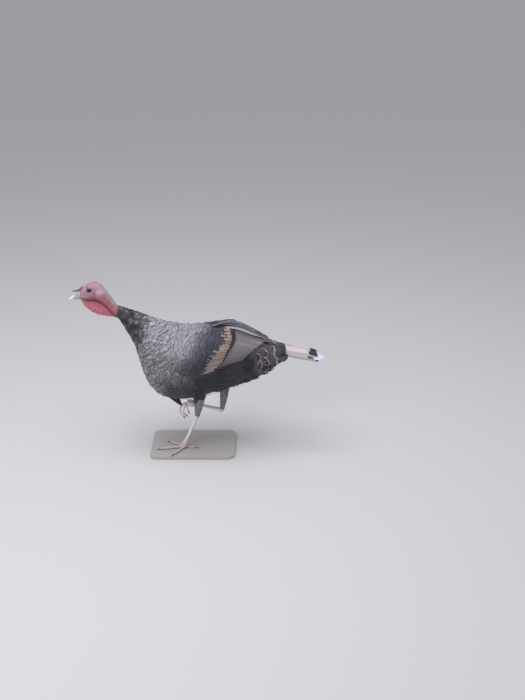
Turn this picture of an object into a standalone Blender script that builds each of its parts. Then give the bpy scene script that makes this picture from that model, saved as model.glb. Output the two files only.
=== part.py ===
"""A domestic turkey hen of the bronze type, life size, walking with the right foot lifted.

The bird faces -Y, its left side is +X and the stand's underside is at Z = 0. One row of
stations gives the head, neck, trunk and tail coverts as a single form, which thin cuts part
into named pieces. Wings, thighs, wattle and tail are carved to sit against it.
"""

import math
from collections import namedtuple

import bmesh
import bpy
from mathutils import Matrix, Vector

# Driving dimensions, in metres.
LENGTH = 0.890  # bill tip to tail tip
GAP = 0.0003  # clearance wherever two pieces meet
BASE_LENGTH, BASE_WIDTH, BASE_THICKNESS = 0.300, 0.226, 0.010
BASE_CORNER, BASE_EDGE = 0.028, 0.0015  # radius of the corners, width of the eased upper edge
BASE_MIDDLE = -0.028  # the stand lies this far forward of the bird's middle, under the foot
SOLE = BASE_THICKNESS + GAP  # level of the standing foot's underside
EYE_RADIUS, EYE_CENTRE = 0.0085, Vector((0.0137, -0.3705, 0.5955))
HOCK_RADIUS, PAD_RADIUS = 0.0098, 0.0150
LEFT_HOCK, LEFT_BALL = Vector((0.045, -0.011, 0.1380)), Vector((0.036, -0.058, 0.0235))
RIGHT_HOCK, RIGHT_BALL = Vector((-0.054, 0.0720, 0.1180)), Vector((-0.045, -0.036, 0.1480))
WING_THICKNESS, FLIGHT_THICKNESS = 0.0125, 0.0100
WING_RIDGE = 0.0150  # how far the stacked inner quills stand up along the wing's upper edge
WING_SUNK = 0.004  # how far the wing's inner side reaches into the body before it is carved

# The form of head, neck, trunk and tail coverts. Each station is one slice across the bird:
# its highest and lowest point on the midline as (y, z), its half width, and how far the
# widest level lies below the middle, as a share.
Station = namedtuple("Station", "top bottom half_width low")
BODY = [
    Station((-0.4040, 0.5875), (-0.4055, 0.5535), 0.0092, 0.00),  # 0 bill base
    Station((-0.3900, 0.6045), (-0.3960, 0.5478), 0.0150, -0.05),
    Station((-0.3745, 0.6165), (-0.3800, 0.5430), 0.0200, -0.15),  # 2 eyes
    Station((-0.3560, 0.6228), (-0.3620, 0.5375), 0.0225, -0.18),  # 3 crown
    Station((-0.3340, 0.6130), (-0.3460, 0.5287), 0.0218, -0.12),  # 4 nape
    Station((-0.3175, 0.5940), (-0.3295, 0.5192), 0.0196, 0.00),
    Station((-0.3020, 0.5700), (-0.3113, 0.5082), 0.0184, 0.00),
    Station((-0.2880, 0.5485), (-0.2925, 0.4971), 0.0192, 0.00),
    Station((-0.2745, 0.5325), (-0.2726, 0.4865), 0.0222, 0.00),  # 8 end of the bare skin
    Station((-0.2330, 0.5220), (-0.2520, 0.4444), 0.0360, 0.05),
    Station((-0.1920, 0.5062), (-0.2290, 0.4050), 0.0520, 0.10),  # 10 neck
    Station((-0.1580, 0.4910), (-0.2155, 0.3659), 0.0700, 0.12),  # 11 neck meets trunk
    Station((-0.1205, 0.4785), (-0.2003, 0.3063), 0.0870, 0.12),  # 12 breast
    Station((-0.0790, 0.4702), (-0.1710, 0.2365), 0.0990, 0.10),
    Station((-0.0305, 0.4655), (-0.1014, 0.1940), 0.1050, 0.08),  # 14 deepest
    Station((0.0248, 0.4620), (-0.0123, 0.2005), 0.1050, 0.04),
    Station((0.0906, 0.4570), (0.0770, 0.2300), 0.0975, 0.00),  # 16 loins
    Station((0.1530, 0.4440), (0.1590, 0.2550), 0.0820, -0.04),
    Station((0.2050, 0.4255), (0.2190, 0.2850), 0.0610, -0.06),  # 18 rump
    Station((0.2470, 0.4095), (0.2613, 0.3090), 0.0450, -0.08),
    Station((0.2874, 0.3961), (0.2992, 0.3385), 0.0370, -0.10),  # 20 end of the tail coverts
]
HEAD_CUT, NECK_CUT, COVERT_CUT, LAST = 8.0, 11.0, 18.0, len(BODY) - 1

# The folded wing, laid out on the body: its edges as degrees round from the midline of the
# back, at these stations, and the slanting line where the coverts end.
WING_STATIONS = [12.4, 13.0, 14.0, 15.0, 16.0, 17.0, 18.0, 18.9]
WING_TOP_DEGREES = [58, 42, 30, 21, 13, 9, 13, 23]
WING_LOW_DEGREES = [72, 86, 95, 96, 91, 77, 54, 34]
WING_FRONT, WING_TIP = 12.4, 18.9
WING_FRONT_ROUND, WING_TIP_ROUND = 0.60, 0.55  # how far its corners fall short of those
BAND_TOP, BAND_SLANT, BAND_GAP = 16.55, 1.0, 0.014

COLOURS = {
    "plumage": ((0.20, 0.19, 0.20), 0.85),
    "flight": ((0.36, 0.30, 0.27), 0.80),
    "tail": ((0.62, 0.54, 0.48), 0.80),
    "skin": ((0.60, 0.22, 0.24), 0.60),
    "bill": ((0.72, 0.70, 0.70), 0.35),
    "eye": ((0.02, 0.015, 0.012), 0.08),
    "leg": ((0.62, 0.50, 0.48), 0.55),
    "claw": ((0.30, 0.24, 0.22), 0.40),
    "stand": ((0.50, 0.47, 0.45), 0.60),
}


# ---- Shapes ----
def spline(values, t):
    """The value at place t, counted in steps along the list, on a smooth curve through it."""
    last = len(values) - 1
    i = min(max(int(t), 0), last - 1)
    f = t - i
    a, b, c, d = (values[min(max(k, 0), last)] for k in (i - 1, i, i + 1, i + 2))
    return 0.5 * (2 * b + (c - a) * f + (2 * a - 5 * b + 4 * c - d) * f * f
                  + (3 * b - a - 3 * c + d) * f ** 3)


def body_point(t, degrees, out=0.0):
    """A point on the body at station t, this many degrees round from the back, moved outwards."""
    top = Vector((0, spline([s.top[0] for s in BODY], t), spline([s.top[1] for s in BODY], t)))
    low = Vector((0, spline([s.bottom[0] for s in BODY], t), spline([s.bottom[1] for s in BODY], t)))
    wide = spline([s.half_width for s in BODY], t)
    lowered = spline([s.low for s in BODY], t)
    angle = math.radians(degrees)
    half = (top - low) / 2
    up = half.normalized()
    side = (wide + out) * math.sin(angle) * (1 - lowered * math.cos(angle))
    rise = (half.length + out) * math.cos(angle)
    return (top + low) / 2 + up * rise + Vector((side, 0, 0))


def body_axis(t):
    """The direction in which the body runs at station t, square to its slice."""
    up = body_point(t, 0) - body_point(t, 180)
    return Vector((1, 0, 0)).cross(up).normalized() * -1


def ring(centre, up, side, rise, fall, wide, count):
    """Points round an oval: it rises and falls by different amounts along up, and is wide each way."""
    points = []
    for k in range(count):
        angle = 2 * math.pi * k / count
        height = math.cos(angle) * (rise if math.cos(angle) > 0 else fall)
        points.append(centre + up * height + side * wide * math.sin(angle))
    return points


def new_object(name, bm, finish):
    bmesh.ops.recalc_face_normals(bm, faces=bm.faces)
    mesh = bpy.data.meshes.new(name)
    bm.to_mesh(mesh)
    bm.free()
    mesh.shade_smooth()
    mesh.set_sharp_from_angle(angle=math.radians(40))
    obj = bpy.data.objects.new(name, mesh)
    bpy.context.collection.objects.link(obj)
    mesh.materials.append(material(finish))
    return obj


def material(finish):
    if finish in bpy.data.materials:
        return bpy.data.materials[finish]
    colour, roughness = COLOURS[finish]
    made = bpy.data.materials.new(finish)
    made.use_nodes = True
    shader = made.node_tree.nodes["Principled BSDF"]
    shader.inputs["Base Color"].default_value = (*colour, 1)
    shader.inputs["Roughness"].default_value = roughness
    shader.inputs["Metallic"].default_value = 0.0
    return made


def loft(name, rings, finish):
    """A closed solid through rings of equal count, with a flat face on each end."""
    bm = bmesh.new()
    rows = [[bm.verts.new(p) for p in points] for points in rings]
    count = len(rows[0])
    for row, following in zip(rows, rows[1:]):
        for k in range(count):
            bm.faces.new((row[k], row[(k + 1) % count], following[(k + 1) % count], following[k]))
    bm.faces.new(rows[0])
    bm.faces.new(rows[-1])
    return new_object(name, bm, finish)


def plate(name, outer, inner, along, across, finish):
    """A closed curved plate between two surfaces, each a function of two shares from 0 to 1."""
    bm = bmesh.new()
    grids = []
    for surface in (outer, inner):
        grids.append([[bm.verts.new(surface(i / along, j / across)) for j in range(across + 1)]
                      for i in range(along + 1)])
    for grid in grids:
        for i in range(along):
            for j in range(across):
                bm.faces.new((grid[i][j], grid[i + 1][j], grid[i + 1][j + 1], grid[i][j + 1]))
    rim = [(i, 0) for i in range(along)] + [(along, j) for j in range(across)]
    rim += [(i, across) for i in range(along, 0, -1)] + [(0, j) for j in range(across, 0, -1)]
    for (i, j), (k, m) in zip(rim, rim[1:] + rim[:1]):
        bm.faces.new((grids[0][i][j], grids[0][k][m], grids[1][k][m], grids[1][i][j]))
    return new_object(name, bm, finish)


def tube(name, path, radii, finish, count=12, flat=1.0, floor=None, grow=0.0):
    """A tapering limb along a path. flat squeezes it from above; floor is a level it can't pass."""
    rings = []
    for k, point in enumerate(path):
        ahead = path[min(k + 1, len(path) - 1)] - path[max(k - 1, 0)]
        side = Vector((1, 0, 0)) if abs(ahead.normalized().x) < 0.9 else Vector((0, 1, 0))
        up = side.cross(ahead).normalized()
        side = ahead.cross(up).normalized()
        radius = radii[k] + grow
        points = ring(point, up, side, radius * flat, radius * flat, radius, count)
        if floor is not None:
            for p in points:
                p.z = max(p.z, floor - grow)
        rings.append(points)
    return loft(name, rings, finish)


def resample(values, steps):
    last = len(values) - 1
    return [spline(values, last * k / steps) for k in range(steps + 1)]


def carve(obj, *cutters):
    """Takes the cutters away from obj. They stay in the file as hidden helpers."""
    for cutter in cutters:
        cut = obj.modifiers.new("clear_" + cutter.name, "BOOLEAN")
        cut.operation = "DIFFERENCE"
        cut.solver = "EXACT"
        cut.object = cutter
        cutter.hide_render = True
        cutter.display_type = "WIRE"


# ---- Head, neck, trunk and tail coverts, parted by thin cuts ----
def body_piece(name, start, end, slices, count, finish, grow=0.0):
    """The body from one cut to the next. A grown piece is a cutter, and runs past its cuts."""
    rings = []
    for k in range(slices + 1):
        t = start + (end - start) * k / slices
        points = [body_point(t, 360 * j / count, grow) for j in range(count)]
        nudge = {0: GAP / 2 - grow * 2, slices: grow * 2 - GAP / 2}.get(k, 0.0)
        rings.append([p + body_axis(t) * nudge for p in points])
    return loft(name, rings, finish)


def make_body():
    head = body_piece("head", 0, HEAD_CUT, 16, 24, "skin")
    body_piece("neck", HEAD_CUT, NECK_CUT, 6, 24, "plumage")
    body_piece("trunk", NECK_CUT, COVERT_CUT, 16, 32, "plumage")
    body_piece("tail_coverts", COVERT_CUT, LAST, 5, 24, "plumage")
    for side, word in ((1, "left"), (-1, "right")):
        make_ball("eye_" + word, side, EYE_RADIUS)
        carve(head, make_ball("socket_" + word, side, EYE_RADIUS + GAP))


def make_ball(name, side, radius):
    """A ball at the place of one eye, with its poles to the sides."""
    bm = bmesh.new()
    bmesh.ops.create_uvsphere(bm, u_segments=12, v_segments=8, radius=radius)
    bmesh.ops.rotate(bm, verts=bm.verts, matrix=Matrix.Rotation(math.pi / 2, 3, "Y"))
    ball = new_object(name, bm, "eye")
    ball.location = (side * EYE_CENTRE.x, EYE_CENTRE.y, EYE_CENTRE.z)
    return ball


# ---- Bill, snood and throat wattle ----
BILL_START, BILL_LENGTH, BILL_HALF_WIDTH = -0.4048, 0.0400, 0.0088
CULMEN, GAPE, CHIN = 0.5867, 0.5686, 0.5520  # levels at the base of the bill
TIP_LEVEL, JAW_DROP = 0.5574, 0.0030  # level where the gape ends, and the jaw's tip below it
BILL_LINING = 0.0012  # each mandible reaches this far past its own side of the gape's middle
JAW_END, HOOK = 0.75, 0.0030  # share of the length where the jaw ends, and the hook's depth
THINNEST = 0.0015


def make_bill():
    """Two mandibles that meet along the gape, the upper one longer and hooked over the lower."""
    upper, lower = [], []
    steps = 8
    for k in range(steps + 1):
        share = k / steps
        wide = BILL_HALF_WIDTH * max((1 - share) ** 0.62, 0.10)
        y = BILL_START - GAP - BILL_LENGTH * share
        line = GAPE + (TIP_LEVEL - GAPE) * share
        culmen = CULMEN + (TIP_LEVEL - CULMEN) * share ** 1.35
        hook = HOOK * max(0.0, (share - JAW_END) / (1 - JAW_END)) ** 2
        rise = max(culmen - line, THINNEST)
        upper.append(ring(Vector((0, y, line + GAP / 2 + BILL_LINING - hook)), Vector((0, 0, 1)),
                          Vector((1, 0, 0)), rise, BILL_LINING, wide, 12))
        if share <= JAW_END:
            chin = CHIN + (TIP_LEVEL - JAW_DROP - CHIN) * share
            fall = max(line - chin, THINNEST)
            lower.append(ring(Vector((0, y, line - GAP / 2 - BILL_LINING)), Vector((0, 0, 1)),
                              Vector((1, 0, 0)), BILL_LINING, fall, wide * 0.86, 12))
    for points in upper + lower:
        for p in points:
            p.y = max(p.y, -LENGTH / 2)
    bill = loft("bill_upper", upper, "bill")
    jaw = loft("bill_lower", lower, "bill")
    front = body_piece("head_for_bill", 0, 2, 4, 24, "skin", grow=GAP)
    carve(bill, front)
    carve(jaw, front)


def make_snood():
    """The soft finger on the forehead. It leans out over the bill without touching it."""
    path = [Vector((0, y, z)) for y, z in
            ((-0.3850, 0.6080), (-0.3950, 0.6035), (-0.4045, 0.5970), (-0.4170, 0.5925), (-0.4320, 0.5890))]
    radii = [0.0060, 0.0052, 0.0040, 0.0030, 0.0015]
    steps = 10
    snood = tube("snood", resample(path, steps), resample(radii, steps), "skin", count=10)
    carve(snood, body_piece("head_for_snood", 0.4, 4, 12, 24, "skin", grow=GAP))


WATTLE_LOW = [(-0.4000, 0.5505), (-0.3930, 0.5370), (-0.3850, 0.5275), (-0.3640, 0.5115),
              (-0.3425, 0.5022), (-0.3163, 0.4978), (-0.3000, 0.4955), (-0.2840, 0.4910)]
WATTLE_DEPTH, WATTLE_HALF_WIDTH = 0.040, 0.0125


def make_wattle():
    """The loose red skin of the throat, hanging from under the bill to the foot of the neck."""
    rings = []
    steps = 14
    for k in range(steps + 1):
        share = k / steps
        y = spline([p[0] for p in WATTLE_LOW], share * (len(WATTLE_LOW) - 1))
        z = spline([p[1] for p in WATTLE_LOW], share * (len(WATTLE_LOW) - 1))
        swell = math.sin(math.pi * (0.06 + 0.88 * share)) ** 0.7
        depth = WATTLE_DEPTH * (0.35 + 0.65 * swell)
        rings.append(ring(Vector((0, y, z + depth / 2)), Vector((0, 0, 1)), Vector((1, 0, 0)),
                          depth / 2, depth / 2, WATTLE_HALF_WIDTH * (0.40 + 0.60 * swell), 14))
    wattle = loft("wattle", rings, "skin")
    carve(wattle, body_piece("head_for_wattle", 0, HEAD_CUT + 0.6, 18, 24, "skin", grow=GAP))


# ---- Wings ----
def wing_edge(degrees, t):
    """An edge of the wing at station t, read from its list of degrees."""
    for k in range(len(WING_STATIONS) - 1):
        if t <= WING_STATIONS[k + 1]:
            break
    span = WING_STATIONS[k + 1] - WING_STATIONS[k]
    return spline(degrees, k + (t - WING_STATIONS[k]) / span)


def wing_surface(side, front, back, thickness):
    """A function of two shares, front to back and top to bottom, on the wing's outside."""
    def point(u, v):
        t = front(v) + (back(v) - front(v)) * u
        degrees = wing_edge(WING_TOP_DEGREES, t)
        degrees += (wing_edge(WING_LOW_DEGREES, t) - degrees) * v
        place = body_point(t, degrees, thickness(u, v))
        place.x *= side
        return place
    return point


def make_wing(side, word, trunk, coverts):
    """The folded wing: the feathered arm with its coverts, then the flight feathers behind them."""
    def front(v):
        return WING_FRONT + WING_FRONT_ROUND * (2 * v - 1) ** 2

    def band(v):
        return BAND_TOP - BAND_SLANT * v * v

    def behind_band(v):
        return band(v) + BAND_GAP

    def tip(v):
        return WING_TIP - WING_TIP_ROUND * (2 * v - 1) ** 2

    def rounded(v):
        return 0.35 + 0.65 * (1 - (2 * v - 1) ** 4)

    def tertials(t, v):
        return WING_RIDGE * math.exp(-((t - BAND_TOP) / 1.15) ** 2 - ((v - 0.08) / 0.30) ** 2)

    def arm(u, v):
        t = front(v) + (band(v) - front(v)) * u
        return WING_THICKNESS * rounded(v) * min(1.0, 0.25 + 2.2 * u) + tertials(t, v)

    def flight(u, v):
        t = behind_band(v) + (tip(v) - behind_band(v)) * u
        return FLIGHT_THICKNESS * rounded(v) * (1 - 0.45 * u) + tertials(t, v)

    def sunk(u, v):
        return -WING_SUNK

    wing = plate("wing_" + word, wing_surface(side, front, band, arm),
                 wing_surface(side, front, band, sunk), 12, 10, "plumage")
    feathers = plate("flight_feathers_" + word, wing_surface(side, behind_band, tip, flight),
                     wing_surface(side, behind_band, tip, sunk), 10, 10, "flight")
    carve(wing, trunk)
    carve(feathers, trunk, coverts)


# ---- Tail ----
TAIL_START, TAIL_HALF_WIDTH, TAIL_THICKNESS = 0.2600, 0.0460, 0.0065
TAIL_RIDGE, TAIL_FALL, TAIL_CURVE = 0.3930, 0.0100, 0.0330  # ridge level and how it sinks to the tip
TAIL_DROP = 0.0400  # how far the edges hang below the ridge
TAIL_ROUND = 0.0300  # how much shorter the outermost feathers are than the middle ones


def make_tail():
    """The closed fan of the tail, a long narrow roof that droops a little towards its round end."""
    def above(u, v):
        across = 2 * v - 1
        end = LENGTH / 2 - TAIL_ROUND * across * across
        width = TAIL_HALF_WIDTH * (0.70 + 0.30 * u)
        ridge = TAIL_RIDGE - TAIL_FALL * u - TAIL_CURVE * u ** 4 * (1 - across * across)
        drop = TAIL_DROP * abs(across) ** 1.5
        return Vector((width * across, TAIL_START + (end - TAIL_START) * u, ridge - drop))

    def below(u, v):
        return above(u, v) - Vector((0, 0, TAIL_THICKNESS * (1.5 - u)))

    tail = plate("tail", above, below, 8, 12, "tail")
    carve(tail, body_piece("coverts_for_tail", COVERT_CUT, LAST, 5, 24, "tail", grow=GAP))


# ---- Legs and feet ----
Digit = namedtuple("Digit", "name heading length radius")
DIGITS = [  # heading in degrees outwards from straight ahead, length without the claw
    Digit("inner_toe", -35, 0.052, 0.0047),
    Digit("middle_toe", 13, 0.073, 0.0053),
    Digit("outer_toe", 60, 0.056, 0.0046),
    Digit("hind_toe", 172, 0.024, 0.0040),
]
TOE_START = 0.60  # how far from the pad's middle a toe begins, as a share of its radius
CLAW_LENGTH, CLAW_RADIUS, CLAW_BEND = 0.0135, 0.0030, 35
LIFTED_ROOT_PITCH, LIFTED_TIP_PITCH = 5, 150  # how the lifted toes hang, in degrees below level


def shank(name, hock, ball, floor, grow=0.0):
    """The scaled lower leg, from the knob of the hock to the round pad under the toes."""
    down = ball - hock
    end = 1.15 if floor is None else 1.22
    shares = [-0.070, -0.045, 0.0, 0.06, 0.14, 0.30, 0.55, 0.76, 0.88, 0.97, 1.05, end]
    radii = [0.45, 0.80, 1.0, 0.92, 0.72, 0.65, 0.64, 0.72, 1.10, 1.48, 1.48, 1.15]
    path = [hock + down * s for s in shares]
    return tube(name, path, [HOCK_RADIUS * r for r in radii], "leg", 12, 0.92, floor, grow)


def digit_path(ball, digit, side, lifted):
    """The line of a toe from inside the pad to where its claw begins, and the way it points there."""
    turn = math.radians(digit.heading)
    forward = Vector((side * math.sin(turn), -math.cos(turn), 0))
    steps = 8
    place = ball.copy()
    place.z = ball.z if lifted else SOLE + digit.radius * 0.9
    points = [place + forward * PAD_RADIUS * TOE_START]
    for k in range(steps):
        share = (k + 0.5) / steps
        pitch = 0.0
        if lifted:
            pitch = LIFTED_ROOT_PITCH + (LIFTED_TIP_PITCH - LIFTED_ROOT_PITCH) * share ** 1.3
            if digit.name == "hind_toe":
                pitch = 60 + 40 * share
        bend = math.radians(pitch)
        ahead = forward * math.cos(bend) - Vector((0, 0, math.sin(bend)))
        points.append(points[-1] + ahead * (digit.length + PAD_RADIUS * (1 - TOE_START)) / steps)
    return points, ahead


def make_digit(digit, word, side, ball, lifted, pad):
    points, ahead = digit_path(ball, digit, side, lifted)
    last = len(points) - 1
    knuckles = [1 + 0.10 * math.cos(2 * math.pi * (k - last) / 3) for k in range(last + 1)]
    radii = [digit.radius * knuckles[k] * (1 - 0.30 * k / last) for k in range(last + 1)]
    floor = None if lifted else SOLE
    toe = tube(f"{digit.name}_{word}", points, radii, "leg", 8, 0.92, floor)
    carve(toe, pad)
    # The claw goes on from the toe and curves down, or along the floor where the foot stands.
    claw_path = [points[-1] + ahead * GAP * 1.5]
    claw_steps = 5
    for k in range(claw_steps):
        dip = math.radians(CLAW_BEND * k / claw_steps if lifted else 9 + 3 * k)
        down = ahead * math.cos(dip) + down_of(ahead) * math.sin(dip)
        claw_path.append(claw_path[-1] + down * CLAW_LENGTH / claw_steps)
    claw_radii = [CLAW_RADIUS * (1 - 0.80 * (k / claw_steps) ** 1.2) for k in range(claw_steps + 1)]
    tube(f"{digit.name}_claw_{word}", claw_path, claw_radii, "claw", 7, 1.0, floor)


def down_of(ahead):
    """The direction square to ahead that points most nearly down, or back where ahead is down."""
    side = Vector((-ahead.y, ahead.x, 0))
    if side.length < 1e-6:
        return Vector((0, 1, 0))
    return ahead.cross(side.normalized()) * -1


def make_leg(word, side, hock, ball, thigh_points, thigh_radii, trunk, lifted):
    floor = None if lifted else SOLE
    shank("shank_" + word, hock, ball, floor)
    pad = shank("pad_for_toes_" + word, hock, ball, floor, grow=GAP)
    steps = 9
    thigh = tube("thigh_" + word, resample(thigh_points, steps), resample(thigh_radii, steps),
                 "plumage", 16)
    carve(thigh, trunk, pad)
    for digit in DIGITS:
        make_digit(digit, word, side, ball, lifted, pad)


# ---- Stand ----
def make_stand():
    """A plain flat base with rounded corners and an eased upper edge, under the standing foot."""
    bm = bmesh.new()
    outline = []
    for quarter, (sx, sy) in enumerate(((1, 1), (-1, 1), (-1, -1), (1, -1))):
        for k in range(7):
            angle = math.radians(90 * quarter + 15 * k)
            outline.append(Vector((sx * (BASE_WIDTH / 2 - BASE_CORNER) + BASE_CORNER * math.cos(angle),
                                   sy * (BASE_LENGTH / 2 - BASE_CORNER) + BASE_CORNER * math.sin(angle), 0)))
    bottom = bm.faces.new([bm.verts.new(p) for p in outline])
    grown = bmesh.ops.extrude_face_region(bm, geom=[bottom])
    top = [v for v in grown["geom"] if isinstance(v, bmesh.types.BMVert)]
    bmesh.ops.translate(bm, verts=top, vec=(0, 0, BASE_THICKNESS))
    edges = [e for e in bm.edges if all(v in top for v in e.verts)]
    bmesh.ops.bevel(bm, geom=edges, offset=BASE_EDGE, segments=2, affect="EDGES")
    stand = new_object("stand_base", bm, "stand")
    stand.location = (0, BASE_MIDDLE, 0)


def main():
    for obj in list(bpy.data.objects):
        bpy.data.objects.remove(obj)
    make_body()
    make_bill()
    make_snood()
    make_wattle()
    trunk = body_piece("trunk_for_others", NECK_CUT, COVERT_CUT, 16, 32, "plumage", grow=GAP)
    coverts = body_piece("coverts_for_wings", COVERT_CUT, LAST, 5, 24, "plumage", grow=GAP)
    for side, word in ((1, "left"), (-1, "right")):
        make_wing(side, word, trunk, coverts)
    make_tail()
    make_leg("left", 1, LEFT_HOCK, LEFT_BALL,
             [Vector((0.054, 0.006, 0.276)), Vector((0.052, 0.001, 0.226)),
              Vector((0.048, -0.004, 0.177)), Vector((0.0455, -0.0097, 0.143))],
             [0.036, 0.0235, 0.0150, 0.0090], trunk, lifted=False)
    make_leg("right", -1, RIGHT_HOCK, RIGHT_BALL,
             [Vector((-0.0535, 0.0815, 0.300)), Vector((-0.0535, 0.083, 0.240)),
              Vector((-0.054, 0.082, 0.178)), Vector((-0.0543, 0.0748, 0.1262))],
             [0.038, 0.0260, 0.0155, 0.0090], trunk, lifted=True)
    make_stand()


main()
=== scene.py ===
"""The finish of a life-size domestic turkey of the bronze type, walking, on a plain flat stand."""

import math

import bmesh
import bpy
import numpy as np
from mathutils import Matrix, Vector, noise
from mathutils.bvhtree import BVHTree


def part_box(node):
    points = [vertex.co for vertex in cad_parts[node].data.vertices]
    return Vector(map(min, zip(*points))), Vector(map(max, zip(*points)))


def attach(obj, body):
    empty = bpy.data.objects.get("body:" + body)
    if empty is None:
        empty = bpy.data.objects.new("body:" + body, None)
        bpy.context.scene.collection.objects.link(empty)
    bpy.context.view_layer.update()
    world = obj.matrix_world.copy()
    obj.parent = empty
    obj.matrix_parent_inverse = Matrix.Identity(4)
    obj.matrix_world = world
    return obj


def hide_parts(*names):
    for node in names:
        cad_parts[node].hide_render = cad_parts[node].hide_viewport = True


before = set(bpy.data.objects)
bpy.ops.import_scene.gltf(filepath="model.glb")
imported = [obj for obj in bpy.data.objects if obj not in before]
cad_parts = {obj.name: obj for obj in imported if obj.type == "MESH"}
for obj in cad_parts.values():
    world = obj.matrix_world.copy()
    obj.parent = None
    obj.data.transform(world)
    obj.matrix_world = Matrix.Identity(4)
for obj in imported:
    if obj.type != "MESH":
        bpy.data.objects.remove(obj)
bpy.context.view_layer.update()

# ---- Hide ----
# The turkey's skin: one closed hide over head, neck, trunk, wings and thighs. It lies deeper
# than the outline by the depth of the feathers, and comes to the surface on the bare head and
# throat, where it is wrinkled, warty and thick with blood.
FLESH = ["head", "neck", "trunk", "tail_coverts", "wattle", "wing_left", "wing_right",
         "flight_feathers_left", "flight_feathers_right", "thigh_left", "thigh_right"]
FILLING = ["eye_left", "eye_right", "bill_upper", "bill_lower"]  # the hide closes under these
HIDE_GRAIN = 0.0038  # size of the hide's faces on the body; on the head they are a quarter of it
FEATHER_EDGE = -0.273  # where the bare skin ends and the neck's feathers begin, in y
COAT_DEPTH, WING_COAT_DEPTH, LIMB_COAT_DEPTH = 0.0046, 0.0042, 0.0024
EYE = Vector((0.0137, -0.3705, 0.5955))
EYE_RADIUS = 0.0085
OPENING = 0.0048  # radius of the gap between the lids


def soft(x, low, high):
    """Rises smoothly from 0 at low to 1 at high, for a number or an array."""
    share = np.clip((np.asarray(x, float) - low) / (high - low), 0, 1)
    return share * share * (3 - 2 * share)


def hump(x, middle, reach):
    """1 at the middle, falling smoothly to nothing on both sides."""
    return np.exp(-((np.asarray(x, float) - middle) / reach) ** 2)


def placed(name, data):
    """An object in the scene with this mesh, lamp or camera."""
    made = bpy.data.objects.new(name, data)
    bpy.context.scene.collection.objects.link(made)
    return made


def form_of(mesh):
    """A mesh's surface, for the nearest place on it and for where a line meets it."""
    return BVHTree.FromPolygons([v.co.copy() for v in mesh.vertices],
                                [tuple(p.vertices) for p in mesh.polygons])


def gather(nodes):
    """The solids of these nodes as one mesh, and the name of the node each face came from."""
    bm = bmesh.new()
    owners = []
    for node in nodes:
        bm.from_mesh(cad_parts[node].data)
        owners += [node] * (len(bm.faces) - len(owners))
    bmesh.ops.remove_doubles(bm, verts=bm.verts, dist=1e-6)
    mesh = bpy.data.meshes.new("gathered")
    bm.to_mesh(mesh)
    bm.free()
    return mesh, owners


def rewrapped(name, nodes, grain, rounds):
    """One even closed surface with faces of this size round these nodes, and its points relaxed."""
    obj = placed(name, gather(nodes)[0])
    wrap = obj.modifiers.new("wrap", "REMESH")
    wrap.mode = "VOXEL"
    wrap.voxel_size = grain
    graph = bpy.context.evaluated_depsgraph_get()
    obj.data = bpy.data.meshes.new_from_object(obj.evaluated_get(graph))
    obj.modifiers.clear()
    return obj, relax(points_of(obj.data), edges_of(obj.data), rounds)


def points_of(mesh, kind="co"):
    """Where a mesh's points are, one to a row."""
    values = np.empty(len(mesh.vertices) * 3)
    mesh.vertices.foreach_get(kind, values)
    return values.reshape(-1, 3)


def normals_of(mesh):
    mesh.update()
    return points_of(mesh, "normal")


def move_to(mesh, points):
    """Puts a mesh's points at these places."""
    mesh.vertices.foreach_set("co", points.ravel())
    mesh.update()


def swell(mesh, points, rise):
    """Puts the points out by this much, each along the way that the surface faces there."""
    move_to(mesh, points + normals_of(mesh) * rise[:, None])


def edges_of(mesh):
    """The two points that each edge joins."""
    ends = np.empty(len(mesh.edges) * 2, int)
    mesh.edges.foreach_get("vertices", ends)
    return ends.reshape(-1, 2)


def beside(values, ends):
    """The mean of the neighbours' values, for each point."""
    total = sum(np.bincount(ends[:, k], values[ends[:, 1 - k]], len(values)) for k in (0, 1))
    return total / np.bincount(ends.ravel(), minlength=len(values))


PULL, PUSH = 0.5, 0.52  # shares of the way to its neighbours that a point is drawn in and out


def relax(points, ends, rounds):
    """Smooths a surface without shrinking it much: each round pulls in, then pushes back out."""
    for pull in [PULL, -PUSH] * rounds:
        points = points + pull * (np.stack([beside(line, ends) for line in points.T], 1) - points)
    return points


raw_mesh, raw_owners = gather(FLESH)
raw_form = form_of(raw_mesh)


def owners_at(points):
    """The flesh node that lies nearest to each point."""
    return np.array([raw_owners[raw_form.find_nearest(Vector(p))[2]] for p in points])


def named_from(owners, *words):
    """Which of these names start with one of the words."""
    return np.any([np.char.startswith(owners, word) for word in words], axis=0)


def closed_mouth(points, share):
    """Draws what lies under the line of the mouth up towards it: the lower bill is shallow."""
    mouth = 0.5686 + 0.268 * (points[:, 1] + 0.4032)
    under = np.minimum(points[:, 2] - mouth, 0) * soft(-points[:, 1], 0.4, 0.404)
    points[:, 2] -= share * under
    return points


hide, co = rewrapped("hide", FLESH + FILLING, HIDE_GRAIN, rounds=7)
co = closed_mouth(co, share=0.55)
move_to(hide.data, co)

# How deep the hide lies: the coat's depth on the body, less on wings and thighs, none on the
# bare head, and a little under the horn of the bill.
owner = owners_at(co)
depth = np.where(named_from(owner, "wing", "flight"), WING_COAT_DEPTH, COAT_DEPTH)
depth[named_from(owner, "thigh")] = LIMB_COAT_DEPTH
depth *= soft(co[:, 1] - 0.25 * (co[:, 2] - 0.5), FEATHER_EDGE - 0.012, FEATHER_EDGE + 0.045)
ends = edges_of(hide.data)
FADE_ROUNDS, FADE = 12, 0.6  # the depth changes gently from one part to the next
for _ in range(FADE_ROUNDS):
    depth = (1 - FADE) * depth + FADE * beside(depth, ends)
BILL_ROOT, UNDER_HORN = -0.403, 0.0014
depth += UNDER_HORN * soft(-co[:, 1], -BILL_ROOT, -BILL_ROOT + 0.003)
swell(hide.data, co, -depth)

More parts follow.
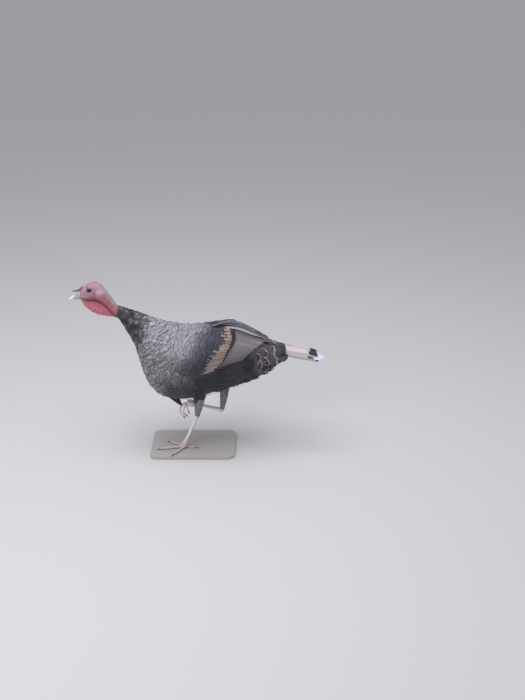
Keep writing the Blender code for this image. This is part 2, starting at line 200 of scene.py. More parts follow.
# The head and throat get four times finer faces, to carry lids, folds and warts.
bm = bmesh.new()
bm.from_mesh(hide.data)
for reach in (FEATHER_EDGE + 0.01, FEATHER_EDGE + 0.002):
    fine = [e for e in bm.edges if max(v.co.y for v in e.verts) < reach]
    bmesh.ops.subdivide_edges(bm, edges=fine, cuts=1, use_grid_fill=True, smooth=0.0)
bm.to_mesh(hide.data)
bm.free()
co = points_of(hide.data)
ends = edges_of(hide.data)
head = co[:, 1] < FEATHER_EDGE + 0.01
settled = relax(co, ends, rounds=3)
co[head] = settled[head]
move_to(hide.data, co)

WATTLE_LINE = [(-0.406, 0.559), (-0.394, 0.556), (-0.372, 0.5565), (-0.351, 0.556),
               (-0.334, 0.548), (-0.317, 0.535), (-0.3025, 0.514), (-0.285, 0.496)]
NAPE_LINE = [(-0.37, 0.63), (-0.345, 0.606), (-0.327, 0.587), (-0.312, 0.566),
             (-0.3, 0.548), (-0.285, 0.533), (-0.265, 0.525)]


def height_over(line, points):
    """How far each point lies above a line drawn on the side of the head as (y, z)."""
    return points[:, 2] - np.interp(points[:, 1], [p[0] for p in line], [p[1] for p in line])


def warts(points, size, seed):
    """Rounded pebbles of about this size, from 0 in the grooves to 1 on their tops."""
    out = np.empty(len(points))
    shift = Vector((seed, 0, 0))
    for k, p in enumerate(points):
        near = noise.voronoi(Vector(p) / size + shift)[0]
        out[k] = near[1] - near[0]
    return soft(out, 0.0, 0.55)


def waves(points, size, seed):
    """Slow unevenness, about -1 to 1."""
    shift = Vector((0, seed, 0))
    return np.array([noise.noise(Vector(p) / size + shift) for p in points])


GAPE_LINE = [(-0.406, 0.57), (-0.392, 0.569), (-0.372, 0.564), (-0.352, 0.561)]
LID_TILT = 0.2  # how far the lids slant, in radians


def lid_ring(y, z):
    """How far out each point lies from the middle of the eye, on the lids' slanting oval."""
    dy, dz = y - EYE.y, z - EYE.z
    across = dy * math.cos(LID_TILT) + dz * math.sin(LID_TILT)
    up = dz * math.cos(LID_TILT) - dy * math.sin(LID_TILT)
    return np.sqrt((across / 1.16) ** 2 + (up / 0.92) ** 2)


def sculpt_head(points):
    """The lids, brow, ear, gape and folds of the head, as a distance to move each point out."""
    y, z = points[:, 1], points[:, 2]
    over_wattle, over_nape = height_over(WATTLE_LINE, points), height_over(NAPE_LINE, points)
    rise = np.zeros(len(points))
    # Lids: two soft rims round the eye, with a thin crease outside them, and the brow above.
    ring = lid_ring(y, z)
    rise += 0.00085 * hump(ring, 0.0064, 0.0012) - 0.0006 * hump(ring, 0.009, 0.0011)
    rise += 0.00045 * hump(ring, 0.011, 0.0014)
    rise += 0.0012 * hump(z - EYE.z, 0.0092, 0.0026) * hump(y - EYE.y, -0.0005, 0.009)
    # The lores sink between eye and nostril, and the cheek swells behind the gape.
    rise -= 0.0011 * hump(y, -0.3875, 0.007) * hump(z, 0.59, 0.006)
    rise += 0.0012 * hump(y, -0.38, 0.011) * hump(over_wattle, 0.0165, 0.006)
    # The gape: a fleshy fold runs back from the corner of the mouth, with a groove under it.
    gape = height_over(GAPE_LINE, points)
    fade = soft(-y, 0.352, 0.376)
    rise += (0.0013 * hump(gape, 0.0026, 0.002) - 0.0012 * hump(gape, -0.0008, 0.0013)) * fade
    # The ear: an oval bristly patch in a shallow ring.
    ear = np.sqrt(((y + 0.336) / 1.0) ** 2 + ((z - 0.589) / 1.25) ** 2)
    rise += 0.0006 * hump(ear, 0.0, 0.004) - 0.0006 * hump(ear, 0.0075, 0.0018)
    # The throat's skin hangs in folds that start at the jaw and run down and back.
    throat = soft(-over_wattle, -0.002, 0.004)
    along = (y + 0.4) * 0.8 + (0.56 - z) * 0.6
    sway = waves(points, size=0.016, seed=3.0)
    folds = np.sin(2 * math.pi * (along / 0.0125 + 0.55 * sway))
    rise += 0.00075 * folds * throat * soft(-over_wattle, 0.002, 0.016)
    rise -= 0.0015 * hump(over_wattle, 0.002, 0.0022) * soft(-y, 0.285, 0.3)
    # The neck below the ear carries slanting creases and rows of pebbly warts.
    neck = soft(over_wattle, 0.000, 0.006) * soft(y, -0.352, -0.335)
    creases = np.abs(np.sin(2 * math.pi * ((y * 0.55 - z * 0.83) / 0.015 + 0.5 * sway)))
    rise += 0.0009 * (creases - 0.5) * neck
    crown = soft(over_nape, -0.02, 0.000) + soft(z, 0.604, 0.612)
    pebbles = 0.0003 + 0.0006 * throat * soft(y, -0.37, -0.3) + 0.00065 * neck
    pebbles += 0.0003 * np.clip(crown, 0, 1)
    smooth_ring = soft(ring, 0.0068, 0.01)
    rise += pebbles * (warts(points, size=0.0034, seed=5.0) - 0.5) * smooth_ring
    rise += 0.00022 * (warts(points, size=0.0015, seed=9.0) - 0.5) * smooth_ring
    return rise * soft(-y, -(FEATHER_EDGE + 0.006), -(FEATHER_EDGE - 0.012))


def open_lids(points):
    """Lays the lids on the eyeball and sinks the skin behind the gap between them."""
    side = np.sign(points[:, 0])
    ring = lid_ring(points[:, 1], points[:, 2])
    near = (ring < 0.0088) & (np.abs(points[:, 0]) > 0.008)
    flat = np.sqrt((points[:, 1] - EYE.y) ** 2 + (points[:, 2] - EYE.z) ** 2)
    ball = EYE.x + np.sqrt(np.clip(EYE_RADIUS ** 2 - flat ** 2, 0, None))
    lid = ball + 0.0006 + 0.0004 * hump(ring, OPENING + 0.001, 0.0008)
    sunk = ball - 0.003
    wanted = sunk + (lid - sunk) * soft(ring, OPENING - 0.0003, OPENING + 0.0003)
    hold = 1 - soft(ring, 0.0066, 0.0088)
    x = np.abs(points[:, 0])
    points[near, 0] = (side * (x + (wanted - x) * hold))[near]
    return points


part = np.where(head)[0]
rise = sculpt_head(co[part])
normals = normals_of(hide.data)
co[part] += normals[part] * rise[:, None]
co[part] = open_lids(co[part])
move_to(hide.data, co)
hide_form = form_of(hide.data)


# ---- Finishes, and the hide's own ----
# Bare skin on head and throat: thin, damp-looking, mottled with blood. Under the feathers the
# hide takes the colours of the coat that covers it at about half their brightness, as painted shade in the
# gaps between feathers.
class Wire:
    """One socket in a finish's nodes. Sums on it add the Math nodes that work them out."""

    def __init__(self, finish, socket):
        self.finish, self.socket = finish, socket

    def of(self, name):
        """Another output of the same node."""
        return Wire(self.finish, named(self.socket.node.outputs, name))


def sums(operation, swapped=False):
    """How wires are added, multiplied and so on: as the Math node of this operation."""
    def work_out(wire, other):
        pair = (other, wire) if swapped else (wire, other)
        return wire.finish.node("Math", {"operation": operation}, dict(enumerate(pair)))
    return work_out


Wire.__add__ = Wire.__radd__ = sums("ADD")
Wire.__mul__ = Wire.__rmul__ = sums("MULTIPLY")
Wire.__sub__, Wire.__rsub__ = sums("SUBTRACT"), sums("SUBTRACT", True)
Wire.__pow__ = sums("POWER")


def named(sockets, name):
    if isinstance(name, int):
        return sockets[name]
    return next(s for s in sockets if s.name == name and s.enabled)


class Finish:
    """A material: its Principled shader with what is the same all over, and nodes for the rest."""

    def __init__(self, name, **constants):
        self.material = bpy.data.materials.new(name)
        self.material.use_nodes = True
        self.tree = self.material.node_tree
        self.shader = self.tree.nodes["Principled BSDF"]
        self.feed(**constants)

    def put(self, socket, value):
        if isinstance(value, Wire):
            self.tree.links.new(value.socket, socket)
        elif socket.type == "RGBA":
            socket.default_value = (*value, 1)
        else:
            socket.default_value = value

    def node(self, kind, settings, values, out=0):
        made = self.tree.nodes.new("ShaderNode" + kind)
        for setting, value in settings.items():
            setattr(made, setting, value)
        for name, value in values.items():
            self.put(named(made.inputs, name), value)
        return Wire(self, named(made.outputs, out))

    def mix(self, mask, under, over):
        return self.node("Mix", {"data_type": "RGBA"}, {"Factor": mask, "A": under, "B": over}, "Result")

    def lit(self, colour, share):
        """A colour made brighter or darker."""
        return self.node("VectorMath", {"operation": "SCALE"}, {0: colour, "Scale": share})

    def soft(self, value, low, high):
        return self.node("MapRange", {"interpolation_type": "SMOOTHSTEP"},
                         {"Value": value, "From Min": low, "From Max": high})

    def mottle(self, where, scale, detail=3.0):
        return self.node("TexNoise", {}, {"Vector": where, "Scale": scale, "Detail": detail})

    def attribute(self, name, out):
        return self.node("Attribute", {"attribute_name": name}, {}, out)

    def place(self):
        return self.node("TexCoord", {}, {}, "Object")

    def split(self, vector):
        """The three numbers of a vector."""
        first = self.node("SeparateXYZ", {}, {"Vector": vector}, "X")
        return first, first.of("Y"), first.of("Z")

    def dress(self, mesh):
        mesh.shade_smooth()
        mesh.materials.append(self.material)

    def bump(self, height, distance, strength):
        """Height is in the units that distance gives, in metres."""
        self.feed(Normal=self.node("Bump", {}, {"Height": height, "Distance": distance,
                                                "Strength": strength}, "Normal"))

    def feed(self, **links):
        for socket, value in links.items():
            self.put(self.shader.inputs[socket.replace("_", " ")], value)


def paint(mesh, name, colours):
    """Stores one colour for each point, with a fourth number that a finish may use."""
    layer = mesh.color_attributes.new(name, "FLOAT_COLOR", "POINT")
    if colours.shape[1] == 3:
        colours = np.hstack([colours, np.ones((len(colours), 1))])
    layer.data.foreach_set("color", colours.astype(np.float32).ravel())


def laid_over(base, over, weight):
    """Values blended from base to over by each point's weight."""
    return base + (np.array(over) - base) * weight[:, None]


SPINE = np.array([  # y, z, and how far the slice leans back at the top, in degrees
    (-0.405, 0.57, 2), (-0.359, 0.58, 4), (-0.3235, 0.557, 9), (-0.2735, 0.5095, 4),
    (-0.2425, 0.483, 14), (-0.187, 0.428, 24), (-0.125, 0.353, 22), (-0.066, 0.33, 15),
    (0.006, 0.331, 8), (0.084, 0.3435, 3), (0.156, 0.3495, -2), (0.212, 0.355, -6),
    (0.293, 0.367, -12)])
RUN = np.concatenate([[0], np.cumsum(np.hypot(*np.diff(SPINE[:, :2], axis=0).T))])
SPINE_STEPS = 200


def run_at(points):
    """How far along the body each point lies, and its angle round from the back in degrees."""
    steps = np.linspace(0, RUN[-1], SPINE_STEPS)
    y, z, lean = (np.interp(steps, RUN, line) for line in SPINE.T)
    lean = np.radians(lean)
    off = (points[:, 1, None] - y) * np.cos(lean) - (points[:, 2, None] - z) * np.sin(lean)
    far = np.abs(off) + 0.15 * np.hypot(points[:, 1, None] - y, points[:, 2, None] - z)
    at = np.argmin(far, 1)
    up = (points[:, 1] - y[at]) * np.sin(lean[at]) + (points[:, 2] - z[at]) * np.cos(lean[at])
    return steps[at], np.degrees(np.arctan2(np.abs(points[:, 0]), up))


# The bare skin's colours.
CROWN, FOREHEAD, CHEEK = (0.42, 0.228, 0.282), (0.56, 0.33, 0.415), (0.38, 0.21, 0.262)
JOWL, EAR, NAPE, LID = (0.28, 0.085, 0.12), (0.64, 0.46, 0.53), (0.38, 0.29, 0.34), (0.09, 0.055, 0.065)
WATTLE, BORDER, STRIP = (0.57, 0.155, 0.22), (0.17, 0.024, 0.038), (0.39, 0.135, 0.172)
GAPE, JAW = (0.58, 0.33, 0.39), (0.39, 0.16, 0.2)


def head_colours(points):
    """The bare skin's colour at each point, patch laid over patch."""
    y, z = points[:, 1], points[:, 2]
    over_wattle, over_nape = height_over(WATTLE_LINE, points), height_over(NAPE_LINE, points)
    drift = 0.004 * waves(points, size=0.012, seed=8.0)
    gape = height_over(GAPE_LINE, points)
    ring = np.hypot((y - EYE.y) / 1.16, (z - EYE.z) / 0.92)
    base = np.tile(np.array(CHEEK), (len(points), 1))
    for colour, weight in (
            (CROWN, soft(z, 0.598, 0.61) * soft(-y, 0.325, 0.35)),
            (FOREHEAD, soft(-y, 0.378, 0.392) * soft(z, 0.585, 0.6)),
            (NAPE, soft(over_nape, -0.016, -0.002) * soft(y, -0.356, -0.335)),
            (JOWL, 0.85 * soft(-over_wattle + drift, -0.022, -0.01) * soft(y, -0.392, -0.366)),
            (STRIP, soft(-over_nape + drift, -0.011, 0.001) * soft(y, -0.348, -0.326)),
            (EAR, hump(y, -0.335, 0.0115) * hump(z, 0.589, 0.01)),
            (JOWL, 0.45 * hump(y, -0.3525, 0.0045) * soft(-z, -0.606, -0.59)),
            # Painted highlight: the GAPE colour is a pale streak along the crest of the fold behind the
            # mouth.
            (GAPE, hump(gape, 0.003, 0.0022) * soft(-y, 0.358, 0.376)),
            (LID, 0.95 * (1 - soft(ring, 0.006, 0.0094))),
            # Painted shade under the brow, in the lids' dark colour.
            (LID, 0.42 * hump(z - EYE.z, 0.0085, 0.0036) * hump(y, EYE.y - 0.006, 0.0065)),
            (BORDER, 0.9 * hump(over_wattle, 0.0042, 0.0088) * soft(y, -0.406, -0.388)),
            (WATTLE, soft(-over_wattle + 0.5 * drift, 0.0005, 0.0065)),
            (JAW, 0.7 * (hump(over_wattle, 0.002, 0.006) * soft(-y, 0.376, 0.392)))):
        base = laid_over(base, colour, weight)
    return base


# The coat's colours: each zone of the plumage gives the vane's own colour with its gloss, which
# also sets how much painted iridescent sheen is mixed into the colour, the rim's colour with how
# peppered the vane is, the dark band's colour with its strength, the widths of rim and band in
# millimetres, and how far each of them follows the vane's sides.
COLOUR, STRENGTH, RIM_WIDTH, BAND_WIDTH = slice(0, 3), 11, 12, 13  # places in a zone's numbers


def zone(ground, gloss_and_sheen, rim, pepper, band, strength, rim_width, band_width, sides, band_sides=0.5):
    return np.array([*ground, gloss_and_sheen, *rim, pepper, *band, strength, rim_width, band_width,
                     sides, band_sides])


BLACK = (0.016, 0.015, 0.018)
RUFF = zone((0.092, 0.087, 0.102), 0.1, (0.15, 0.145, 0.165), 0.2, BLACK, 1.0, 0.7, 1.9, 0.35)
MANTLE = zone((0.35, 0.336, 0.382), 0.0, (0.04, 0.038, 0.048), 0.45, (0.2, 0.19, 0.22), 0.5, 1.0, 1.4, 0.8)
BREAST = zone((0.32, 0.3, 0.328), 0.00, (0.46, 0.43, 0.46), 0.5, BLACK, 1.0, 0.8, 2.3, 0.45, 0.65)
SIDE = zone((0.155, 0.145, 0.165), 0.2, (0.2, 0.19, 0.21), 0.4, BLACK, 1.0, 0.7, 1.7, 0.55, 0.7)
KEEL = zone((0.05, 0.043, 0.045), 0.1, (0.205, 0.186, 0.188), 0.3, BLACK, 1.0, 0.9, 2.2, 0.4)
BELLY = zone((0.015, 0.0145, 0.022), 0.1, (0.028, 0.026, 0.038), 0.2, BLACK, 0.3, 1.2, 2.0, 0.3)
HAZE = zone((0.028, 0.025, 0.041), 0.1, (0.05, 0.046, 0.064), 0.2, BLACK, 0.3, 1.2, 2.0, 0.3)
SHOULDER = zone((0.115, 0.108, 0.135), 0.45, (0.035, 0.033, 0.042), 0.2, BLACK, 0.5, 1.1, 2.0, 0.6)
SPECULUM = zone((0.05, 0.046, 0.066), 0.75, (0.016, 0.015, 0.02), 0.05, BLACK, 0.6, 1.2, 2.4, 0.5)
LOW_BACK = zone((0.06, 0.055, 0.062), 0.45, (0.2, 0.19, 0.21), 0.15, BLACK, 0.9, 1.3, 3.0, 0.15)
RUMP = zone((0.125, 0.098, 0.104), 0.1, (0.16, 0.135, 0.145), 0.25, BLACK, 0.35, 1.0, 2.5, 0.2)
VENT = zone((0.05, 0.041, 0.046), 0.1, (0.24, 0.225, 0.245), 0.2, BLACK, 1.0, 1.5, 4.6, 0.05)
LEG = zone((0.25, 0.23, 0.255), 0.00, (0.29, 0.27, 0.295), 0.45, (0.13, 0.12, 0.13), 0.5, 0.8, 1.2, 0.5)


def plumage(points, wing, thigh):
    """The numbers of the plumage at each point, blended softly from zone to zone."""
    y, z = points[:, 1], points[:, 2]
    _, turn = run_at(points)
    made = np.tile(BREAST, (len(points), 1))
    for marks, weight in (
            (SIDE, soft(y + 0.0006 * (turn - 90), -0.12, -0.055)),
            (BELLY, soft(y, -0.01, 0.05) * (1 - wing)),
            (MANTLE, soft(-turn, -82, -52) * soft(y, -0.205, -0.185) * soft(-y, -0.022, 0.042)),
            (KEEL, soft(turn, 98, 132) * soft(y, -0.175, -0.12)),
            (RUFF, soft(-y + 0.15 * (z - 0.46), 0.186, 0.206) * soft(z, 0.385, 0.435)),
            (BELLY, soft(turn, 78, 108) * soft(y, -0.08, -0.02)),
            (HAZE, soft(y, 0.05, 0.085) * soft(-y, -0.15, -0.12) * soft(-turn, -150, -122) * (1 - wing)),
            (LOW_BACK, soft(-turn, -30, -18) * soft(y, 0.000, 0.06)),
            (SHOULDER, soft(y + 0.0008 * np.clip(turn - 30, 0, 60), -0.06, 0.01) * wing),
            (SPECULUM, soft(y + 0.001 * np.clip(turn - 30, 0, 60), -0.005, 0.05) * wing),
            (RUMP, soft(-turn, -104, -82) * soft(y, 0.15, 0.19) * (1 - wing)),
            (VENT, soft(turn, 78, 98) * soft(y, 0.145, 0.185) * (1 - wing)),
            (LEG, thigh)):
        made = laid_over(made, marks, weight)
    return made


def plumage_at(root, wing=0.0):
    return plumage(np.array([root]), np.array([wing]), np.zeros(1))[0]


owner = owners_at(co)
over_wing, over_thigh = named_from(owner, "wing", "flight") * 1.0, named_from(owner, "thigh") * 1.0
border = co[:, 1] + 0.1 * (0.51 - co[:, 2]) + 0.003 * waves(co, size=0.009, seed=12.0)
feathered = soft(border, FEATHER_EDGE - 0.002, FEATHER_EDGE + 0.01)
# Painted shade: the hide under the coat gets the coat's colours at about half their brightness.
shaded_under_coat = plumage(co, over_wing, over_thigh)[:, COLOUR] * 0.55
hide_colours = laid_over(head_colours(co), shaded_under_coat, feathered)
paint(hide.data, "hide_colour", np.hstack([hide_colours, feathered[:, None]]))

skin = Finish("bare_skin", Roughness=0.42, Subsurface_Weight=0.12, Subsurface_Scale=0.004,
              Coat_Roughness=0.3, Specular_IOR_Level=0.45)
where = skin.place()
colour = skin.attribute("hide_colour", "Color")
blotch = skin.mottle(where, 260.0)
colour = skin.mix(skin.soft(blotch, 0.52, 0.7) * 0.35, colour, skin.lit(colour, 0.55))
fine = skin.node("TexVoronoi", {}, {"Vector": where, "Scale": 900.0}, "Distance")
colour = skin.lit(colour, 0.88 + 0.3 * skin.mottle(where, 90.0))
skin.feed(Base_Color=colour, Roughness=0.36 + 0.22 * blotch)
skin.bump(fine + blotch * 0.8, 0.0004, 0.6)
skin.dress(hide.data)
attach(hide, "root")
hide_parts(*FLESH)


# ---- Feathers ----
# Each feather is one thin closed vane. Its shaft runs along the hide from the root and lifts
# towards the tip, over the feathers behind it, and its two sides wrap round the body.
ROWS = np.array([0.0, 0.24, 0.44, 0.61, 0.75, 0.86, 0.94, 1.0])
FEW_ROWS = np.array([0.0, 0.38, 0.68, 0.88, 1.0])
QUILL_ROWS = np.concatenate([np.linspace(0, 0.8, 9), [0.87, 0.93, 0.97, 1.0]])
VANE_COLUMNS = np.array([-1, -0.55, 0, 0.55, 1, 0.55, 0, -0.55])  # over the top, back underneath
SMALL_COLUMNS = np.array([-1, 0, 1, 0])
VANE_THICKNESS = 0.00045
PATCH = 0.003  # the size of each feather's patch on the OFBake map
SHARPEST, SHARPEST_BESIDE = 0.55, 0.45  # cosines of the sharpest turns that a vane follows
dice = np.random.default_rng(7)
between = dice.uniform


def wobble(most):
    return between(-most, most)


def jitter(share):
    return 1 + wobble(share)


def sideways(way, spread):
    """A chance turn to one side of the way that a feather lies."""
    return Vector((0, 0, 1)).cross(way) * dice.normal(0, spread)


def spine_at(run):
    """The middle of the body this far along it, and the way its slice rises there."""
    y, z, lean = (np.interp(run, RUN, line) for line in SPINE.T)
    lean = math.radians(lean)
    return Vector((0, y, z)), Vector((0, math.sin(lean), math.cos(lean)))


def cast(centre, way):
    """Where a line outwards from the middle of the body leaves the hide, and the way out there."""
    point, out, _, _ = hide_form.ray_cast(centre, way)
    return point, out


def down_shaft(root, way, length, rows, form=hide_form):
    """Points and outward ways at these shares of a vane's length, following the surface."""
    here, out = form.find_nearest(root)[:2]
    points, outs = [here.copy()], [out.copy()]
    for step in np.diff(rows) * length:
        way = (way - out * way.dot(out)).normalized()
        ahead = here + way * step
        near, turned = form.find_nearest(ahead)[:2]
        if turned.dot(out) > SHARPEST:
            ahead, out = near, (out + turned).normalized()
        here = ahead
        points.append(here.copy())
        outs.append(out.copy())
    return np.array(points), np.array(outs)


def eased(values):
    """Values along each vane, evened out a little from row to row."""
    kept = values.copy()
    kept[:, 1:-1] = 0.25 * values[:, :-2] + 0.5 * values[:, 1:-1] + 0.25 * values[:, 2:]
    return kept


def lengths(vectors):
    return np.linalg.norm(vectors, axis=-1)


def unit(vectors):
    return vectors / np.maximum(lengths(vectors), 1e-9)[..., None]


def note(mesh, name, vectors):
    """Stores three numbers for each point."""
    layer = mesh.attributes.new(name, "FLOAT_VECTOR", "POINT")
    layer.data.foreach_set("vector", vectors.astype(np.float32).ravel())


class Coat:
    """A group of feathers that becomes one piece."""

    def __init__(self, rows, columns=VANE_COLUMNS, form=hide_form, ragged=0.07, free=False):
        self.rows, self.columns, self.form, self.ragged, self.free = rows, columns, form, ragged, free
        self.shafts, self.outs, self.sizes, self.marks = [], [], [], []

    def add(self, shaft, outs, length, half_width, low, high, marks, roll=0.0, arch=0.1, tip=0.34):
        """low and high are the vane's heights over the form at root and tip; arch bows it."""
        self.shafts.append(shaft)
        self.outs.append(outs)
        self.sizes.append((length, half_width, low, high, roll, arch, tip, dice.random()))
        self.marks.append(marks)

    def lay(self, root, way, length, half_width, low, high, marks, **shape):
        shaft, outs = down_shaft(root, way, length, self.rows, self.form)
        self.add(shaft, outs, length, half_width, low, high, marks, **shape)

    def wrapped(self, points, outs):
        """Points drawn onto the form, where it doesn't turn away too far; free vanes stay flat."""
        if self.free:
            return points, outs
        for line, line_outs in zip(points, outs):
            for k in range(len(line)):
                near, turned = self.form.find_nearest(Vector(line[k]))[:2]
                if turned.dot(Vector(line_outs[k])) > SHARPEST_BESIDE:
                    line[k] += 0.85 * (np.array(near) - line[k])
                    line_outs[k] = 0.4 * line_outs[k] + 0.6 * np.array(turned)
        return points, unit(outs)

    def piece(self, name, finish, slot):
        shaft, outs = eased(np.array(self.shafts)), unit(eased(np.array(self.outs)))
        length, half, low, high, roll, arch, tip, chance = np.array(self.sizes).T[:, :, None]
        s = self.rows[None, :]
        way = unit(np.gradient(shaft, axis=1))
        side = unit(np.cross(way, outs))
        width = half * (0.5 + 0.5 * np.sin(np.minimum(s / 0.5, 1) * math.pi / 2))
        round_off = np.clip((s - (1 - tip)) / tip, 0, 1) ** 2.6
        width = width * np.maximum(np.sqrt(1 - round_off), 0.1)
        ragged = 1 + between(-self.ragged, self.ragged, (2,) + width.shape)  # both sides uneven
        flanks = [self.wrapped(shaft + side * (width * uneven)[:, :, None] * u, outs.copy())
                  for u, uneven in zip((-1, 1), ragged)]
        rise = low + (high - low) * s ** 1.1
        count, steps = shaft.shape[:2]
        grid = np.empty((count, steps, len(self.columns), 3))
        for c, u in enumerate(self.columns):
            reach = width * ragged[int(u > 0)]
            base, out = shaft + side * (reach * u)[:, :, None], outs
            if u:
                flank, flank_outs = flanks[int(u > 0)]
                straight = shaft + side * reach[:, :, None] * np.sign(u)
                base = base + (flank - straight) * abs(u) ** 1.6
                out = unit(outs + (flank_outs - outs) * abs(u))
            under = c > len(self.columns) // 2
            up = rise + roll * u * width + arch * width * (1 - u * u) * np.sin(s * math.pi * 0.5)
            up = up - under * VANE_THICKNESS * (1 - 0.4 * abs(u))
            grid[:, :, c] = base + out * up[:, :, None]
        return self.build(name, finish, grid, width, length, tip, chance, s)

    def build(self, name, finish, grid, width, length, tip, chance, s):
        count, steps, ring = grid.shape[:3]
        numbers = np.arange(count * steps * ring).reshape(count, steps, ring)
        following = np.roll(numbers, -1, axis=2)
        quads = np.stack([numbers[:, :-1], following[:, :-1], following[:, 1:], numbers[:, 1:]], -1)
        root_caps, tip_caps = numbers[:, 0, ::-1], numbers[:, -1]
        corners = np.concatenate([quads.ravel(), root_caps.ravel(), tip_caps.ravel()])
        sizes = np.concatenate([np.full(quads.size // 4, 4), np.full(count * 2, ring)])
        mesh = bpy.data.meshes.new(name)
        mesh.vertices.add(numbers.size)
        mesh.vertices.foreach_set("co", grid.ravel())
        mesh.loops.add(len(corners))
        mesh.loops.foreach_set("vertex_index", corners)
        mesh.polygons.add(len(sizes))
        mesh.polygons.foreach_set("loop_start", np.concatenate([[0], np.cumsum(sizes)[:-1]]))
        mesh.update(calc_edges=True)
        mesh.shade_smooth()
        mesh.set_sharp_from_angle(angle=math.radians(60))
        marks = np.repeat(np.array(self.marks), steps * ring, axis=0)
        u = np.broadcast_to(self.columns, grid.shape[:3])
        across = u * width[:, :, None] * 1000
        beside = (1 - np.abs(u)) * width[:, :, None] * 1000
        along = np.broadcast_to((s * length)[:, :, None] * 1000, grid.shape[:3])
        before = (((1 - s) * length)[:, :, None] + 0.5 * width[:, :, None] * u ** 2) * 1000
        chances = np.broadcast_to(chance[:, :, None], grid.shape[:3])
        # Rim and band run round the tip, and fade from the sides by their own amount.
        rounding = soft(s, 1 - 1.1 * tip, 1 - 0.4 * tip)[:, :, None]
        shares = [np.maximum(marks[:, k].reshape(grid.shape[:3]), rounding) for k in (14, 15)]
        to_rim, to_band = (beside + 300 * (1 - share) ** 3 for share in shares)
        paint(mesh, "ground", marks[:, 0:4])
        paint(mesh, "rim", marks[:, 4:8])
        paint(mesh, "band", marks[:, 8:12])
        note(mesh, "lie", np.stack([across, along, chances], -1))
        note(mesh, "edge", np.stack([to_rim, to_band, before], -1))
        note(mesh, "widths", marks[:, 12:15])
        # The map: each vane's patch lies where its root is, unrolled along and round the body.
        run, turn = run_at(np.array(self.shafts)[:, 0])
        home = np.stack([run / RUN[-1], 0.5 + turn / 370 * np.sign(np.array(self.shafts)[:, 0, 0])], -1)
        home = 0.01 + 0.98 * home
        patch = np.stack([u * 0.5, np.broadcast_to(s[:, :, None], u.shape) - 0.5], -1) * PATCH
        layout = (home[:, None, None, :] + patch).reshape(-1, 2)
        mesh.uv_layers.new(name="OFBake").data.foreach_set("uv", layout[corners].ravel())
        mesh.materials.append(finish.material)
        made = placed(name, mesh)
        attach(made, "root")
        return made


def vane_finish(name, roughness, barb_depth):
    """A vane's colours and barbs, read from what is stored on it: millimetres and colours."""
    vane = Finish(name, Specular_IOR_Level=0.35, Sheen_Weight=0.15, Sheen_Roughness=0.5)
    across, along, chance = vane.split(vane.attribute("lie", "Vector"))
    rim_beside, band_beside, before = vane.split(vane.attribute("edge", "Vector"))
    rim_width, band_width, _ = vane.split(vane.attribute("widths", "Vector"))
    ground, rim, band = (vane.attribute(part, "Color") for part in ("ground", "rim", "band"))
    gloss_and_sheen, pepper, strength = ground.of("Alpha"), rim.of("Alpha"), band.of("Alpha")
    off = vane.node("Math", {"operation": "ABSOLUTE"}, {0: across})
    barb = along - off * 0.85

    def grain(first, second, detail=2.0):
        where = vane.node("CombineXYZ", {}, {"X": first, "Y": second, "Z": chance * 70.0})
        return vane.mottle(where, 1.0, detail)

    ragged = (grain(barb * 0.8, across * 0.12) - 0.5) * 1.4
    lowest = {"operation": "MINIMUM"}
    to_rim = vane.node("Math", lowest, {0: rim_beside, 1: before}) + ragged
    to_band = vane.node("Math", lowest, {0: band_beside, 1: before}) + ragged
    rim_mask = 1 - vane.soft(to_rim, rim_width - 0.3, rim_width + 0.2)
    inner = rim_width + band_width
    band_mask = vane.soft(to_band, rim_width - 0.3, rim_width + 0.2) * strength
    band_mask = band_mask * (1 - vane.soft(to_band, inner - 0.7, inner + 0.7))
    specks = vane.soft(grain(across * 1.1, along * 1.1), 0.5, 0.62) * pepper
    streak = grain(barb * 1.7, across * 0.1, 1.0)
    colour = vane.mix(specks, ground, band)
    colour = vane.mix(band_mask, colour, band)
    # Painted sheen: purple and teal iridescence, mixed into the colour more where the vane is glossier.
    painted_sheen = vane.mix(vane.soft(grain(across * 0.1, along * 0.14), 0.4, 0.6),
                    (0.05, 0.022, 0.075), (0.01, 0.05, 0.055))
    colour = vane.mix(gloss_and_sheen * 0.55, colour, painted_sheen)
    colour = vane.mix(rim_mask, colour, rim)
    shaft_line = 1 - vane.soft(off, 0.2, 0.55)
    colour = vane.lit(colour, (0.7 + 0.6 * streak) * (0.82 + 0.36 * chance) * (1 - 0.25 * shaft_line))
    vane.feed(Base_Color=colour, Roughness=roughness - 0.22 * gloss_and_sheen, Metallic=gloss_and_sheen * 0.25)
    vane.bump(streak + shaft_line * 0.8, barb_depth, 0.5)
    return vane


down_vane = vane_finish("contour_vane", 0.66, 0.0004)


# The coat of neck, breast, back, flanks and rump: rings of feathers round the body, each ring's
# roots covered by the one before.
BODY_START, BODY_END = RUN[3] + 0.001, RUN[-1] - 0.07
SIZE_RUN = [RUN[3], RUN[4], RUN[5], RUN[6], RUN[8], RUN[10], RUN[-1]]
SIZE_LENGTH = [0.012, 0.019, 0.024, 0.027, 0.03, 0.035, 0.042]
SIZE_WIDTH = [0.0028, 0.0042, 0.006, 0.0072, 0.0084, 0.0104, 0.013]
SIZE_PITCH = [0.0034, 0.005, 0.0064, 0.0076, 0.0086, 0.0098, 0.011]
COAT_ENDS = [RUN[5] - 0.03, RUN[6], RUN[8] - 0.01]  # where one piece of the coat ends
ZONE_BLUR = 0.0045  # how far the zones of colour run into each other
PALE_PATCH, PATCH_SEED, LOOP_POINTS = 0.014, 380.86, 25


